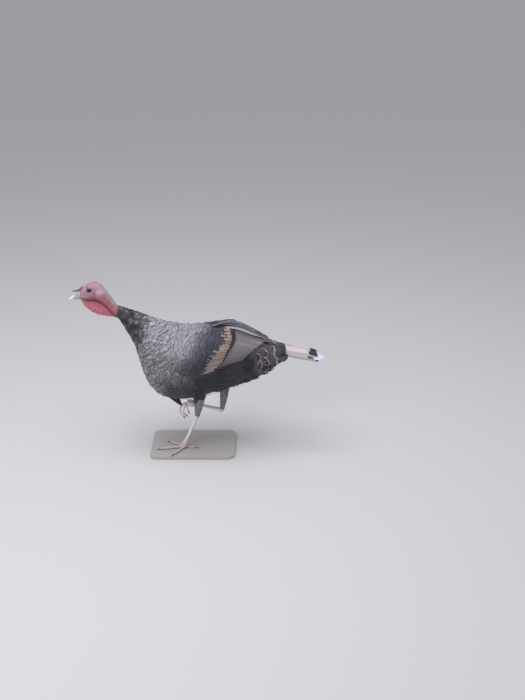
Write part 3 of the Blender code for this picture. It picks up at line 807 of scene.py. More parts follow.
def body_rings():
    """Roots in rings from the top of the neck to the rump, as (run, angle, half width)."""
    run, ring = BODY_START, 0
    while run < BODY_END:
        pitch, half = np.interp(run, SIZE_RUN, SIZE_PITCH), np.interp(run, SIZE_RUN, SIZE_WIDTH)
        centre, up = spine_at(run)
        loop = [cast(centre, up * math.cos(a) + Vector((math.sin(a), 0, 0)))[0]
                for a in np.linspace(0, 2 * math.pi, LOOP_POINTS)]
        around = sum((b - a).length for a, b in zip(loop, loop[1:]))
        count = max(8, round(around / (half * 1.1)))
        for k in range(count):
            turn = 2 * math.pi * (k + 0.5 * (ring % 2) + wobble(0.22)) / count
            yield run + pitch * wobble(0.3), turn
        run += pitch
        ring += 1


def body_root(run, turn):
    """The root on the hide, the way its feather lies, and the node of the body under it."""
    centre, up = spine_at(run)
    behind, behind_up = spine_at(run - 0.006)
    aside = Vector((math.sin(turn), 0, 0))
    root, _ = cast(centre, up * math.cos(turn) + aside)
    before, _ = cast(behind, behind_up * math.cos(turn) + aside)
    return root, (root - before).normalized(), owners_at([root])[0]


neck_coat = Coat(FEW_ROWS, SMALL_COLUMNS)
fore_coat, mid_coat, hind_coat = Coat(ROWS), Coat(ROWS), Coat(ROWS)
for run, turn in body_rings():
    root, way, under = body_root(run, turn)
    if under.startswith(("wing", "flight", "thigh")):
        continue
    length = np.interp(run, SIZE_RUN, SIZE_LENGTH) * jitter(0.18)
    half = np.interp(run, SIZE_RUN, SIZE_WIDTH) * jitter(0.14)
    belly = soft(math.degrees(math.pi - abs(turn % (2 * math.pi) - math.pi)), 95, 130)
    side_way = sideways(way, 0.13)
    coat = (neck_coat, fore_coat, mid_coat, hind_coat)[np.searchsorted(COAT_ENDS, run)]
    marks = plumage_at(np.array(root) + dice.normal(0, ZONE_BLUR, 3))
    # Darker and paler patches on the breast, more so on the neck.
    patchy = 0.05 + 0.5 * soft(-root.y, 0.09, 0.15) + 1.7 * soft(-root.y, 0.2, 0.215)
    shade = math.exp(dice.normal(-0.02, 0.1 + 0.25 * soft(-root.y, 0.2, 0.22))
                     + patchy * waves(np.array([root]), PALE_PATCH, PATCH_SEED)[0])
    shade *= 1 - 0.42 * soft(-root.y, 0.215, 0.24)
    palest = 0.37 - 0.15 * soft(-root.y, 0.195, 0.215)
    marks[[0, 1, 2, 4, 5, 6]] *= min(shade, palest / marks[0])
    high = np.interp(run, SIZE_RUN, [0.002, 0.0032, 0.0042, 0.0044, 0.0046, 0.005, 0.0052])
    if dice.random() < 0.06 + 0.12 * soft(-root.y, 0.09, 0.15):  # some stand loose
        high, side_way = high * 1.55, side_way * 2.0
    coat.lay(root, way + side_way, length * (1 + 0.15 * belly), half, 0.0004, high * jitter(0.22), marks)
LAST_TINY, BRISTLES = 320, 130
for _ in range(LAST_TINY):  # they thin out over the bare neck
    run = BODY_START + 0.006 - 0.017 * dice.random() ** 1.6
    root, way, _ = body_root(run, between(0, 2 * math.pi))
    neck_coat.lay(root, way, between(0.005, 0.01), between(0.0006, 0.0012), 0.0002,
                  between(0.0006, 0.0022), RUFF)
BRISTLE = zone((0.05, 0.038, 0.042), 0.0, (0.05, 0.04, 0.04), 0.0, BLACK, 0.0, 0.0, 0.0, 0.0)
for _ in range(BRISTLES):  # sparse and fine on the crown and the nape
    centre = Vector((0, between(-0.395, -0.29), 0.0))
    centre.z = np.interp(centre.y, [-0.395, -0.29], [0.585, 0.545])
    turn = dice.normal(0, 0.75)
    root, out = cast(centre, Vector((math.sin(turn), 0, math.cos(turn))))
    if root is not None and math.hypot(root.y - EYE.y, root.z - EYE.z) > 0.013:
        neck_coat.lay(root, Vector((0, 1, -0.4)), between(0.002, 0.0042), 0.00014, 0.0001,
                      between(0.0006, 0.0014), BRISTLE)
neck_coat.piece("neck_feathers", down_vane, "plumage")
fore_coat.piece("breast_and_mantle_feathers", down_vane, "plumage")
mid_coat.piece("side_and_keel_feathers", down_vane, "plumage")
hind_coat.piece("back_and_flank_feathers", down_vane, "plumage")

# Loose down hangs from the belly, the lower flanks and under the tail, and a dark pointed tuft
# from the middle of the belly.
LOOSE, CLUMPS, IN_CLUMP, IN_TUFT = 620, 26, 7, 150
loose = Coat(FEW_ROWS, SMALL_COLUMNS, free=True)
for _ in range(LOOSE):
    run = between(RUN[6] + 0.03, RUN[-1] - 0.05)
    turn = math.pi + dice.normal(0, 0.7)
    root, way, under = body_root(run, turn)
    if under.startswith("trunk"):
        marks = plumage_at(root)
        way = way + sideways(way, 0.3) - Vector((0, 0, 0.25))
        loose.lay(root, way, between(0.02, 0.032) * (1 + 0.5 * soft(root.y, 0.06, 0.12)),
                  between(0.002, 0.004), 0.0008, between(0.004, 0.0085), marks)
for _ in range(CLUMPS):  # longer ones that fray the lower edge of the flank
    run, turn = between(RUN[8] - 0.01, RUN[-1] - 0.07), math.pi + dice.normal(0, 0.55)
    for _ in range(IN_CLUMP):
        root, way, under = body_root(run + dice.normal(0, 0.004), turn + dice.normal(0, 0.07))
        if under.startswith("trunk"):
            way = way + sideways(way, 0.2) - Vector((0, 0, 0.6))
            loose.lay(root, way, between(0.032, 0.054), between(0.0025, 0.0062), 0.0008,
                      between(0.006, 0.016), BELLY)
TUFT_TIP = Vector((0, -0.066, 0.1585))
for _ in range(IN_TUFT):
    start = Vector((dice.normal(0, 0.013), between(-0.135, -0.082), 0.17))
    near, out = hide_form.find_nearest(start)[:2]
    if not owners_at([near])[0].startswith("trunk"):
        continue
    tip = near.lerp(TUFT_TIP + Vector(dice.normal(0, 0.0016, 3)), 0.55 + 0.45 * dice.random() ** 0.7)
    shares = FEW_ROWS[:, None]
    line = np.array(near) + shares * (np.array(tip - near) + np.array(out) * 0.01 * (1 - shares))
    facing = Vector((near.x * 30 + dice.normal(0, 0.5), 0.4, -0.7)).normalized()
    loose.add(line, np.tile(np.array(facing), (len(shares), 1)), (tip - near).length,
              between(0.0014, 0.003), 0.0, 0.001, KEEL)
loose.piece("belly_down", down_vane, "plumage")


# ---- Wings ----
# The folded wing: small overlapping coverts from the shoulder back, a slanting band of broad
# copper coverts with black ends, and the long stiff quills that it covers at their roots.
BAND_TURN = [15, 21, 34, 48, 60, 75, 83, 96]  # degrees round from the back
BAND_FRONT = [0.086, 0.087, 0.088, 0.082, 0.056, 0.03, 0.02, 0.006]
BAND_REAR = [0.119, 0.125, 0.1285, 0.119, 0.105, 0.0925, 0.081, 0.0545]
GATHER_TURN = 40  # the angle that the quills draw together to at the wing's tip
ROOF_TURN, ROOF_LIFT, QUILL_BEND = 15, 0.006, 0.9
COVERT_LENGTH, COVERT_PITCH, COVERT_ROWS, IN_COVERT_ROW = 0.029, 0.0076, 30, 30
STANDS_OUT = 0.004  # how far a covert's tip may lie from the wing
PRIMARIES, SECONDARIES, COPPERS = 6, 11, 14


def wing_cast(y, turn, side):
    """The hide at this distance along the wing and this many degrees round from the back."""
    middle = Vector((0, y, np.interp(y, SPINE[:, 0], SPINE[:, 1])))
    return cast(middle, Vector((side * math.sin(math.radians(turn)), 0, math.cos(math.radians(turn)))))


def wing_root(y, turn, side, draw):
    """A root on the wing and the way its feather lies, drawn towards the wing's tip."""
    root, _ = wing_cast(y, turn, side)
    onward, _ = wing_cast(y + 0.008, turn + (GATHER_TURN - turn) * draw * 0.008, side)
    return root, (onward - root).normalized()


COPPER = zone((0.34, 0.245, 0.215), 0.00, (0.06, 0.042, 0.04), 0.25, BLACK, 1.0, 1.8, 4.0, 1.0, 0.0)
QUILL = zone((0.262, 0.232, 0.24), 0.05, (0.32, 0.295, 0.31), 0.3, (0.1, 0.085, 0.095), 0.6, 0.9, 1.8,
             1.0, 1.0)
PALE_QUILL = zone((0.39, 0.35, 0.41), 0.00, (0.52, 0.48, 0.54), 0.2, BLACK, 1.0, 1.4, 11.0, 0.9, 0.2)
BROWN_TERTIAL = zone((0.162, 0.14, 0.16), 0.15, (0.44, 0.42, 0.46), 0.3, BLACK, 1.0, 1.6, 13.0, 0.9, 0.0)
TERTIAL = zone((0.085, 0.082, 0.098), 0.5, (0.5, 0.48, 0.54), 0.25, BLACK, 0.6, 1.9, 4.0, 0.95, 0.8)
PRIMARY = zone((0.068, 0.068, 0.1), 0.2, (0.16, 0.16, 0.19), 0.2, BLACK, 0.6, 1.2, 2.0, 0.9, 0.6)

quill_vane = vane_finish("quill_vane", 0.58, 0.0003)


def roof_cast(y, turn, side):
    """As wing_cast, but near the middle it bridges the furrow between the two wings."""
    point, out = wing_cast(y, max(turn, ROOF_TURN), side)
    share = min(turn / ROOF_TURN, 1)
    lift = ROOF_LIFT * (1 - share) * (1.0 if side > 0 else 0.6)  # the left wing lies on top
    return (Vector((point.x * share, point.y, point.z + lift)),
            out.lerp(Vector((0, 0, 1)), 1 - share).normalized())


def lay_quill(coat, side, start, end, half_width, low, high, marks, roll, arch=0.06, tip=0.16):
    """A long quill between two places on the wing, each as (y, degrees round)."""
    points, outs = [], []
    for share in coat.rows:
        y = start[0] + (end[0] - start[0]) * share
        turn = start[1] + (end[1] - start[1]) * share ** QUILL_BEND
        point, out = roof_cast(y, turn, side)
        points.append(point)
        outs.append(out)
    points = np.array(points)
    length = lengths(np.diff(points, axis=0)).sum()
    coat.add(points, np.array(outs), length, half_width, low, high, marks, roll, arch, tip)


for side, word in ((1, "left"), (-1, "right")):
    coverts = Coat(ROWS)
    for row in range(COVERT_ROWS):
        for k in range(IN_COVERT_ROW):
            turn = 2 + 4.0 * (k + 0.5 * (row % 2)) + wobble(1.2)
            uneven = 0.2 if row < 2 else 1.0  # the last rows end in an even line over the copper band
            y = np.interp(turn, BAND_TURN, BAND_FRONT) - row * COVERT_PITCH + uneven * wobble(0.0022)
            root, way = wing_root(y - 0.018, turn, side, 2.0)
            if not owners_at([root])[0].startswith("wing"):
                continue
            tip = Vector(down_shaft(root, way, COVERT_LENGTH, ROWS)[0][-1])
            if hide_form.find_nearest(tip)[3] > STANDS_OUT:
                continue
            marks = plumage_at(root, wing=1.0)
            # Painted shade: coverts low on the wing, turned away from the light above, are made darker.
            lower_wing_shade = 1 - 0.28 * soft(turn, 55, 80)  # low down on the wing
            marks[COLOUR] *= math.exp(dice.normal(0, 0.14)) * lower_wing_shade
            length, half = (COVERT_LENGTH - 0.0002 * row) * jitter(0.14 * uneven), 0.0068 * jitter(0.12)
            coverts.lay(root, way, length, half, 0.0005, 0.0048 * jitter(0.2), marks)
    coverts.piece("wing_coverts_" + word, down_vane, "plumage")

    quills = Coat(QUILL_ROWS)
    for share in np.linspace(0, 1, PRIMARIES):  # the lowest and the deepest
        lay_quill(quills, side, (0.035 + 0.02 * share, 94 - 8 * share),
                  (0.118 + 0.035 * share, 88 - 14 * share), 0.012, 0.0004, 0.002, PRIMARY, roll=0.04)
    for k in range(SECONDARIES, 0, -1):  # each lying under the one above it
        share = k / SECONDARIES
        start = 12 + 73 * share
        marks = QUILL.copy()
        marks[COLOUR] *= 1.1 - 0.66 * share + wobble(0.05)
        lay_quill(quills, side, (np.interp(start, BAND_TURN, BAND_FRONT) + 0.006, start),
                  (0.236 - 0.076 * share, 20 + 47 * share ** 0.9), 0.015, 0.0012, 0.0038,
                  PALE_QUILL if k == 1 else marks, roll=0.085)
    quills.piece("wing_quills_" + word, quill_vane, "flight_feathers")

    tertials = Coat(QUILL_ROWS, ragged=0.03, free=True)
    for k, (start, end, half, marks) in enumerate((  # each over the one below
            ((0.072, 5), (0.226, 6), 0.015, TERTIAL), ((0.082, 22), (0.24, 23), 0.015, BROWN_TERTIAL),
            ((0.08, 15), (0.23, 15), 0.015, PALE_QUILL), ((0.074, 6), (0.19, 5), 0.0125, TERTIAL),
            ((0.062, 2), (0.178, 2), 0.013, TERTIAL), ((0.044, 1), (0.132, 2), 0.012, TERTIAL))):
        lay_quill(tertials, side, start, end, half, 0.0012 + 0.0005 * k, 0.0046 + 0.001 * k, marks,
                  roll=0.06, arch=0.12, tip=0.2)
    tertials.piece("tertials_" + word, quill_vane, "flight_feathers")

    band = Coat(QUILL_ROWS)
    for k in range(COPPERS, -1, -1):
        start = 21 + 73 * k / COPPERS
        front, rear = (np.interp(start, BAND_TURN, line) for line in (BAND_FRONT, BAND_REAR))
        marks = COPPER.copy()
        marks[BAND_WIDTH] = np.interp(start, [20, 44, 60, 75, 90], [15.0, 12.0, 9.0, 6.0, 3.0])
        marks[COLOUR] *= between(0.86, 1.1) * (1 - 0.003 * (start - 21))
        draw = math.exp(-2.6 * (rear - front + 0.014))
        end = rear + wobble(0.001), GATHER_TURN + (start - GATHER_TURN) * draw
        lay_quill(band, side, (front - 0.014, start), end, 0.0088, 0.0034, 0.0062, marks,
                  roll=0.12, arch=0.1, tip=0.13)
    band.piece("copper_coverts_" + word, quill_vane, "flight_feathers")


# ---- Tail coverts and tail ----
# Broad barred coverts close over the root of the tail. The tail is twelve stiff feathers folded
# like a fan, the middle pair on top, cream with black spots and white ends.
TAIL_COVERT = zone((0.135, 0.105, 0.112), 0.15, (0.46, 0.45, 0.5), 0.25, BLACK, 1.0, 1.8, 5.0, 0.1, 0.0)
WHITE_COVERT = zone((0.09, 0.075, 0.08), 0.05, (0.27, 0.26, 0.3), 0.35, BLACK, 1.0, 9.5, 4.0, 0.0, 0.0)
DARK_COVERT = zone((0.08, 0.07, 0.076), 0.00, (0.2, 0.19, 0.21), 0.2, (0.052, 0.05, 0.068), 1.0, 0.7,
                   27.0, 0.0, 0.0)
FLANK = zone((0.08, 0.064, 0.071), 0.1, (0.42, 0.405, 0.45), 0.25, BLACK, 1.0, 3.6, 7.0, 0.15, 0.0)
RECTRIX = zone((0.62, 0.56, 0.56), 0.00, (0.66, 0.68, 0.78), 0.15, (0.032, 0.031, 0.04), 1.0, 34.0,
               29.0, 0.0, 0.0)

tail_low, tail_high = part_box("tail")
tail_form = form_of(gather(["tail"])[0])
fan = Coat(QUILL_ROWS, form=tail_form)
PAIRS = 6
SPOTS = [(0.384, 0.4085), (0.3785, 0.413), (0.3785, 0.4115), (0.385, 0.405), (0.3765, 0.399),
         (0.412, 0.4345)]  # the black spot on each pair, in y
for pair in range(PAIRS, 0, -1):
    for side in (1, -1):
        across = side * (pair - 0.5) / PAIRS
        end = tail_high.y - 0.03 * across ** 2 - 0.0025 * (pair % 2) - 0.001
        start = tail_low.y + 0.004
        points, outs = [], []
        for share in fan.rows:
            y = start + (end - start) * share
            x = across * 0.0355 * (0.7 + 0.3 * share)
            point, out = tail_form.ray_cast(Vector((x, y, 1.0)), Vector((0, 0, -1)))[:2]
            if point is None:
                point, out = tail_form.find_nearest(Vector((x, y, tail_high.z)))[:2]
            points.append(point)
            outs.append(out)
        marks = RECTRIX.copy()
        spot = np.array(SPOTS[pair - 1]) + wobble(0.001)
        marks[RIM_WIDTH], marks[BAND_WIDTH] = (end - spot[1]) * 1000, (spot[1] - spot[0]) * 1000
        marks[STRENGTH] = 0.15 if pair == 4 else 1.0
        # Painted shade: the outer pairs lie lower in the folded fan and are painted darker.
        marks[COLOUR] *= 1.22 - 0.105 * pair
        depth = 0.0045 * (pair - 1) / (PAIRS - 1)
        fan.add(np.array(points), np.array(outs), end - start, 0.0125, -0.0005 - depth,
                0.0008 - depth * 0.9, marks, roll=-0.03 * side, arch=0.06, tip=0.16)
tail_fan = fan.piece("tail_fan", quill_vane, "tail_feathers")
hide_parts("tail")

# How far the tail's surface lies from a point in its root, all round; open underneath.
HEART = Vector((0, 0.298, 0.362))
TURNS = np.linspace(0, 2 * math.pi, 33)
reach = []
for turn in TURNS:
    met = tail_form.ray_cast(HEART, Vector((math.sin(turn), 0, math.cos(turn))))[0]
    reach.append(0.02 if met is None else (met - HEART).length + 0.001)
for _ in range(3):
    ringed = np.concatenate([reach[-3:-1], reach, reach[1:3]])
    reach = np.convolve(ringed, [0.15, 0.2, 0.3, 0.2, 0.15], "valid")


def lay_covert(coat, root, way, turn, length, half, marks, goal, share):
    """A covert that leaves the hide and draws in to the tail at this y; share closes it further."""
    shaft, outs = down_shaft(root, way, length, coat.rows)
    outward = np.array((math.sin(turn), 0.2, math.cos(turn)))
    far = np.interp(turn % (2 * math.pi), TURNS, reach) * share
    target = np.array((outward[0] * far, goal, HEART.z + outward[2] * far))
    drawn = soft(coat.rows, 0.2, 1.0)[:, None]
    shaft = shaft + drawn * (target - shaft[-1])
    outs = unit(outs * (1 - drawn) + drawn * outward)
    coat.add(shaft, outs, length, half, 0.0006, 0.0024, marks, tip=0.3)


coverts = Coat(ROWS, free=True)
for row, (run_back, count, length, half, marks, goal) in enumerate((
        (0.092, 24, 0.046, 0.012, TAIL_COVERT, 0), (0.08, 24, 0.046, 0.012, TAIL_COVERT, 0),
        (0.067, 24, 0.047, 0.0105, WHITE_COVERT, 0), (0.05, 36, 0.056, 0.0105, DARK_COVERT, 0.301))):
    for k in range(count):
        turn = 2 * math.pi * (k + 0.5 * (row % 2)) / count + wobble(0.03)
        root, way, under = body_root(RUN[-1] - run_back + wobble(0.003), turn)
        if under.startswith(("flight", "wing")):
            continue
        if row < 2:
            marks = RUMP + (TAIL_COVERT - RUMP) * (0.25 + 0.75 * abs(math.sin(turn / 2)) ** 4)
        long, broad = length * jitter(0.05), half * jitter(0.08)
        if goal:
            lay_covert(coverts, root, way, turn, long, broad, marks, goal + wobble(0.002), 1.0)
        else:
            coverts.lay(root, way, long, broad, 0.0006, 0.0046, marks, tip=0.3)
UNDER_TAIL = 9
for row, share in enumerate((0.75, 0.4, 0.1)):  # under the tail they close the root off
    for k in range(UNDER_TAIL):
        turn = math.radians(100 + 20 * (k + 0.5 * (row % 2)) + wobble(3))
        root, way, _ = body_root(RUN[-1] - 0.03, turn)
        lay_covert(coverts, root, way, turn, 0.062, 0.012, DARK_COVERT, 0.304 + 0.007 * row, share)
for run_back, first, last in ((0.132, 76, 120), (0.106, 70, 136)):
    for turn in np.arange(first, last, 13):
        for side in (1, -1):  # larger barred feathers over the thin end of the flank
            turned = side * math.radians(turn + wobble(2))
            root, way, under = body_root(RUN[-1] - run_back + wobble(0.003), turned)
            if not under.startswith(("flight", "wing")):
                coverts.lay(root, way, 0.056 * jitter(0.06), 0.0165 * jitter(0.1), 0.001, 0.007, FLANK,
                            tip=0.42)
coverts.piece("tail_covert_feathers", down_vane, "plumage")


# ---- Leg feathers ----
# Short soft grey feathers run down each drumstick and end just over the bare hock. They grow
# from the thigh's skin in close rings, each ring lying over the next.
LEG_LEVELS, LEG_RING, IN_SLICE = 15, 24, 16
TOO_FLAT = 0.7  # a feather's root may not face up or down more than this


def solid_points(node):
    return np.array([v.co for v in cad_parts[node].data.vertices])


for word in ("left", "right"):
    low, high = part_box("thigh_" + word)
    thigh = solid_points("thigh_" + word)
    levels = np.linspace(low.z + 0.003, high.z - 0.006, LEG_LEVELS)
    middles = [Vector(thigh[np.argsort(np.abs(thigh[:, 2] - z))[:IN_SLICE]].mean(0)) for z in levels]
    leg_coat = Coat(FEW_ROWS, SMALL_COLUMNS)
    for k, middle in enumerate(middles):
        share = 1 - k / (len(middles) - 1)
        for step in (0.0, 0.5):
            centre = middle.lerp(middles[min(k + 1, len(middles) - 1)], step)
            for j in range(LEG_RING):
                angle = 2 * math.pi * (j + step) / LEG_RING + wobble(0.2)
                aside = Vector((math.sin(angle), math.cos(angle), wobble(0.12))) * 0.03
                root, out = hide_form.find_nearest(centre + aside)[:2]
                if not owners_at([root])[0].startswith("thigh") or abs(out.z) > TOO_FLAT:
                    continue
                marks = LEG * np.append(np.full(3, math.exp(dice.normal(0, 0.22))), np.ones(len(LEG) - 3))
                way = Vector((0, 0, -1)) + out.cross(Vector((0, 0, 1))) * dice.normal(0, 0.14)
                length = (0.022 - 0.009 * share) * jitter(0.25)
                half = (0.0036 - 0.0014 * share) * jitter(0.25)
                leg_coat.lay(root, way, length, half, 0.0003, 0.0024 * jitter(0.4), marks, tip=0.62)
    leg_coat.piece("leg_feathers_" + word, down_vane, "plumage")


# ---- Eyes ----
# Wet round eyeballs with a dark brown iris round a black pupil. Each lies in the head behind its
# two lids, and its clear front stands out a little between them.
BULGE, BULGE_REACH = 0.035, 0.003
eye = Finish("eye", Roughness=0.12, Coat_Weight=0.25, Coat_Roughness=0.03, Specular_IOR_Level=0.25)
_, y, z = eye.split(eye.place())
off_axis = ((y - EYE.y) ** 2 + (z - EYE.z) ** 2) ** 0.5 * 1000
rays = eye.mottle(eye.node("VectorMath", {"operation": "NORMALIZE"}, {0: eye.place()}), 220.0)
iris = eye.mix(rays, (0.012, 0.006, 0.005), (0.032, 0.015, 0.01))
iris = eye.mix(eye.soft(off_axis, 3.8, 4.5), iris, (0.01, 0.007, 0.007))
eye.feed(Base_Color=eye.mix(eye.soft(off_axis, 2.2, 2.5), (0.003, 0.003, 0.004), iris))
for side, word in ((1, "left"), (-1, "right")):
    bm = bmesh.new()
    bmesh.ops.create_uvsphere(bm, u_segments=48, v_segments=32, radius=EYE_RADIUS)
    for v in bm.verts:  # the clear front of the eye stands out a little
        bulge = 1 + BULGE * float(hump(math.hypot(v.co.x, v.co.y), 0, BULGE_REACH))
        v.co = Vector((v.co.z, v.co.y, -v.co.x)) * bulge
        v.co += Vector((side * EYE.x, EYE.y, EYE.z))
    globe = placed("eyeball_" + word, bpy.data.meshes.new("eyeball_" + word))
    bm.to_mesh(globe.data)
    bm.free()
    eye.dress(globe.data)
    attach(globe, "root")
    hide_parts("eye_" + word)


# ---- Bill ----
# Two horn sheaths, pale bluish at the root and cream at the tip. The upper one is ridged on top,
# hooks over the lower one, and has the nostrils, each a slit under a soft flap.
HORN_GRAIN = 0.0008
NOSTRIL = Vector((0.005, -0.415, 0.5785))


def store(mesh, name, values):
    """Stores one number for each point."""
    layer = mesh.attributes.new(name, "FLOAT", "POINT")
    layer.data.foreach_set("value", values.astype(np.float32))


horn = Finish("bill_horn", Roughness=0.34, Coat_Weight=0.15, Specular_IOR_Level=0.5,
              Subsurface_Weight=0.08, Subsurface_Scale=0.003)
where = horn.place()
along = horn.split(where)[1]
stretched = horn.node("VectorMath", {"operation": "MULTIPLY"}, {0: where, 1: (2.2, 0.35, 1.0)})
lines = horn.mottle(stretched, 900.0)
shade = horn.mix(horn.soft(along, -0.441, -0.418), (0.99, 0.94, 0.89), (0.42, 0.44, 0.5))
shade = horn.mix(horn.soft(along, -0.412, -0.404) * 0.6, shade, (0.34, 0.3, 0.36))
# Painted shade: the nostril's slit is painted near black, for the dark of its hollow.
shade = horn.mix(horn.attribute("hole", "Fac") * 0.9, shade, (0.05, 0.04, 0.045))
horn.feed(Base_Color=horn.lit(shade, 0.84 + 0.32 * lines), Roughness=0.26 + 0.2 * lines)
horn.bump(lines, 0.0003, 0.4)
for part in ("upper", "lower"):
    sheath, co = rewrapped("bill_sheath_" + part, ["bill_" + part], HORN_GRAIN, rounds=5)
    co[:, 1] += 0.004 * soft(co[:, 1], -0.409, -0.4052)
    if part == "lower":
        co = closed_mouth(co, share=0.42)
    spread = np.hypot((co[:, 1] - NOSTRIL.y) / 2.0, co[:, 2] - NOSTRIL.z)
    spread[np.abs(co[:, 0]) <= 0.0015] = 1.0  # no nostril across the ridge
    hole = hump(spread, 0, 0.0011)
    move_to(sheath.data, co)
    rise = -0.0013 * hole + 0.00045 * hump(spread, 0.0023, 0.0008)
    rise += 0.0004 * hump(co[:, 0], 0, 0.0016) * (part == "upper")
    swell(sheath.data, co, rise)
    store(sheath.data, "hole", hole)
    horn.dress(sheath.data)
    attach(sheath, "root")
    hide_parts("bill_" + part)


# ---- Snood ----
# The soft finger of bare skin that grows on the forehead and lies forward over the bill. It is
# drawn in, so its skin is wrinkled round and round.
SNOOD_GRAIN, SNOOD_RINGS = 0.0007, 13
snood, co = rewrapped("snood_flesh", ["snood"], SNOOD_GRAIN, rounds=4)
forward = np.clip((-0.384 - co[:, 1]) / 0.048, 0, 1)
co[:, 2] -= 0.002 * (1 - soft(forward, 0.0, 0.25)) + 0.004 * hump(forward, 0.6, 0.36)
move_to(snood.data, co)
rings = np.sin(2 * math.pi * forward * SNOOD_RINGS + 1.5 * waves(co, size=0.006, seed=2.0))
rise = (0.00028 * rings + 0.0003 * (warts(co, size=0.0018, seed=4.0) - 0.5)) * (1 - 0.5 * forward)
swell(snood.data, co, rise)
flesh = np.tile(np.array(FOREHEAD), (len(co), 1))
paint(snood.data, "hide_colour", laid_over(flesh, (0.15, 0.085, 0.12), soft(forward, 0.05, 0.45)))
skin.dress(snood.data)
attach(snood, "root")
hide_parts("snood")


# ---- Feet ----
# Bare scaly shanks and toes, pinkish white: broad plates down the front of the shank and over
# the toes, small round scales behind, and horn claws set into the toes' ends.
DIGITS = ["inner_toe", "middle_toe", "outer_toe", "hind_toe"]
PLATE_LENGTH, TOE_PLATE_LENGTH, GROOVE = 0.0046, 0.0034, 0.00045
LEG_GRAIN, BALL_REACH, HOCK_REACH = 0.001, 0.015, 0.014
BALL_POINTS, HOCK_POINTS = 40, 12  # how many points of the solids give the middle of each
scales = Finish("leg_scales", Roughness=0.5, Subsurface_Weight=0.08, Subsurface_Scale=0.003)
where = scales.place()
cloud = scales.mottle(where, 120.0)
groove = scales.attribute("groove", "Fac")
shade = scales.mix(scales.soft(scales.split(where)[2], 0.03, 0.07), (0.66, 0.54, 0.56), (0.98, 0.87, 0.88))
shade = scales.mix(scales.soft(cloud, 0.4, 0.66) * 0.6, shade, scales.lit(shade, 0.78))
shade = scales.mix(groove * 0.6, shade, (0.3, 0.22, 0.23))
scales.feed(Base_Color=shade, Roughness=0.42 + 0.25 * groove)
scales.bump(scales.mottle(where, 1500.0), 0.0002, 0.4)
claw_horn = Finish("claw_horn", Roughness=0.38)
where = claw_horn.place()
grain = claw_horn.mottle(where, 500.0)
claw_horn.feed(Base_Color=claw_horn.mix(grain, (0.3, 0.23, 0.21), (0.13, 0.1, 0.1)),
               Roughness=0.3 + 0.2 * grain)
claw_horn.bump(grain, 0.0002, 0.4)


def along_limb(points, node, start):
    """How far along this limb each point lies, measured on the limb's own bent middle line."""
    solid = solid_points(node)
    reach = lengths(solid - start)
    stops = np.linspace(0, reach.max(), 9)
    line = []
    for low, high in zip(stops, stops[1:]):
        band = (reach >= low) & (reach <= high)
        if band.any():
            line.append(solid[band].mean(0))
    line = np.array(line)
    runs = np.concatenate([[0], np.cumsum(lengths(np.diff(line, axis=0)))])
    best, where = np.full(len(points), np.inf), np.zeros(len(points))
    for a, b, run in zip(line, line[1:], runs):
        step = b - a
        share = np.clip((points - a) @ step / (step @ step), -0.5, 1.5)
        gap = lengths(points - a - share[:, None] * step)
        closer = gap < best
        best[closer], where[closer] = gap[closer], (run + share * np.linalg.norm(step))[closer]
    return where


for word in ("left", "right"):
    parts = ["shank_" + word] + [f"{digit}_{word}" for digit in DIGITS]
    leg, co = rewrapped("scaled_leg_" + word, parts, LEG_GRAIN, rounds=4)
    solids, names = gather(parts)
    limbs = form_of(solids)
    nearest = np.array([names[limbs.find_nearest(Vector(p))[2]] for p in co])
    shank_points = solid_points(parts[0])
    toe_points = np.vstack([solid_points(part) for part in parts[1:]])
    ball = toe_points[np.argsort(lengths(toe_points - shank_points.mean(0)))[:BALL_POINTS]].mean(0)
    hock = shank_points[np.argsort(-lengths(shank_points - ball))[:HOCK_POINTS]].mean(0)
    near_ball = hump(lengths(co - ball), 0, BALL_REACH)[:, None]
    co = co + near_ball * (relax(co, edges_of(leg.data), rounds=26) - co)
    move_to(leg.data, co)
    normals = normals_of(leg.data)
    dent, upper = np.zeros((2, len(co)))  # upper: front of the shank and tops of the toes
    for part in parts:
        mine, shank = nearest == part, part == parts[0]
        length = PLATE_LENGTH if shank else TOE_PLATE_LENGTH
        far = along_limb(co[mine], part, hock if shank else ball)
        zigzag = 0.5 * (normals[mine, 0] > 0) * shank
        phase = (far / length + zigzag) % 1
        dent[mine] = hump(np.minimum(phase, 1 - phase) * length, 0, GROOVE)
        front = (0, -1.0, 0.1) if shank else (0, -0.45, 0.9)
        upper[mine] = soft(normals[mine] @ front, -0.25, 0.1)
    knob = hump(lengths(co - hock), 0, HOCK_REACH)
    pebbles = warts(co, size=0.0022, seed=6.0)
    upper *= 1 - knob
    dent = dent * upper + (1 - pebbles) * (1 - upper)
    rise = -0.00042 * dent + 0.00012 * pebbles
    swell(leg.data, co, rise)
    store(leg.data, "groove", dent)
    scales.dress(leg.data)
    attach(leg, "root")
    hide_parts(*parts)
    for digit in DIGITS:
        node = f"{digit}_claw_{word}"
        solid, _ = gather([node])
        co = points_of(solid)
        tip = co[np.argmax(lengths(co - ball))]
        move_to(solid, tip + (co - tip) * (1.16, 1.16, 1.06))
        claw = placed(f"claw_{digit}_{word}", solid)
        rounded = claw.modifiers.new("rounded", "SUBSURF")
        rounded.levels = rounded.render_levels = 2
        claw_horn.dress(claw.data)
        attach(claw, "root")
        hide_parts(node)


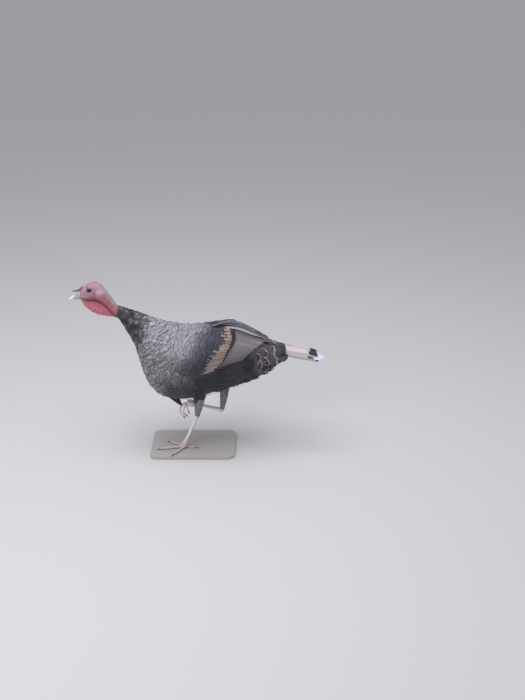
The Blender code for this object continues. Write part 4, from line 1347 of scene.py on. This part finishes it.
# ---- Stand ----
# The plain flat base under the foot that is down, without which the bird would fall. It is
# painted a matt stone grey, with the faint nap of a roller.
paint_coat = Finish("stand_paint", Roughness=0.6)
nap = paint_coat.mottle(paint_coat.place(), 420.0)
cloud = paint_coat.mottle(paint_coat.place(), 9.0)
paint_coat.feed(Base_Color=paint_coat.lit(paint_coat.mix(cloud, (0.4, 0.375, 0.365), (0.46, 0.43, 0.42)),
                                          0.95 + 0.1 * nap), Roughness=0.52 + 0.2 * nap)
paint_coat.bump(nap, 0.0002, 0.3)
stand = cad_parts["stand_base"]
stand.data.materials.clear()
stand.data.materials.append(paint_coat.material)


# ---- Floor, light and camera ----
# A plain pale studio floor with broad soft light from above, and the camera level with a
# standing person's eye, looking down on the bird's left side.
FLOOR_REACH, LOOKING_DOWN = 40, 21.1  # metres from the middle, and the camera's angle in degrees
floor_mesh = bpy.data.meshes.new("floor")
corners = [(x * FLOOR_REACH, y * FLOOR_REACH, 0) for x, y in ((-1, -1), (1, -1), (1, 1), (-1, 1))]
floor_mesh.from_pydata(corners, [], [(0, 1, 2, 3)])
floor = placed("floor", floor_mesh)
floor.location.z = -0.0005  # a hair under the stand
plain = Finish("pale_floor", Base_Color=(0.62, 0.61, 0.62), Roughness=0.9)
floor.data.materials.append(plain.material)


def soft_light(name, place, aim, size, power, colour):
    """A round lamp this broad, turned from its place towards its aim."""
    lamp = bpy.data.lights.new(name, "AREA")
    lamp.shape, lamp.size, lamp.energy, lamp.color = "DISK", size, power, colour
    made = placed(name, lamp)
    made.location = place
    made.rotation_euler = (Vector(aim) - Vector(place)).to_track_quat("-Z", "Y").to_euler()


soft_light("sky", (0.6, -0.3, 3.2), (0, 0, 0.3), 2.6, 62, (0.96, 0.97, 1.0))
soft_light("window", (2.8, -1.6, 2.2), (0, 0, 0.35), 1.6, 26, (1.0, 0.98, 0.97))
world = bpy.data.worlds.new("studio")
bpy.context.scene.world = world
world.use_nodes = True
sky = world.node_tree.nodes["Background"].inputs
sky["Color"].default_value = (0.93, 0.95, 1.0, 1)
sky["Strength"].default_value = 0.55
bpy.context.scene.view_settings.view_transform = "Standard"

camera_data = bpy.data.cameras.new("camera")
camera_data.lens = 54.0
camera = placed("camera", camera_data)
camera.location = (3.4304, 0.2208, 1.6949)
camera.rotation_euler = (math.radians(90 - LOOKING_DOWN), 0, math.radians(90))
bpy.context.scene.camera = camera
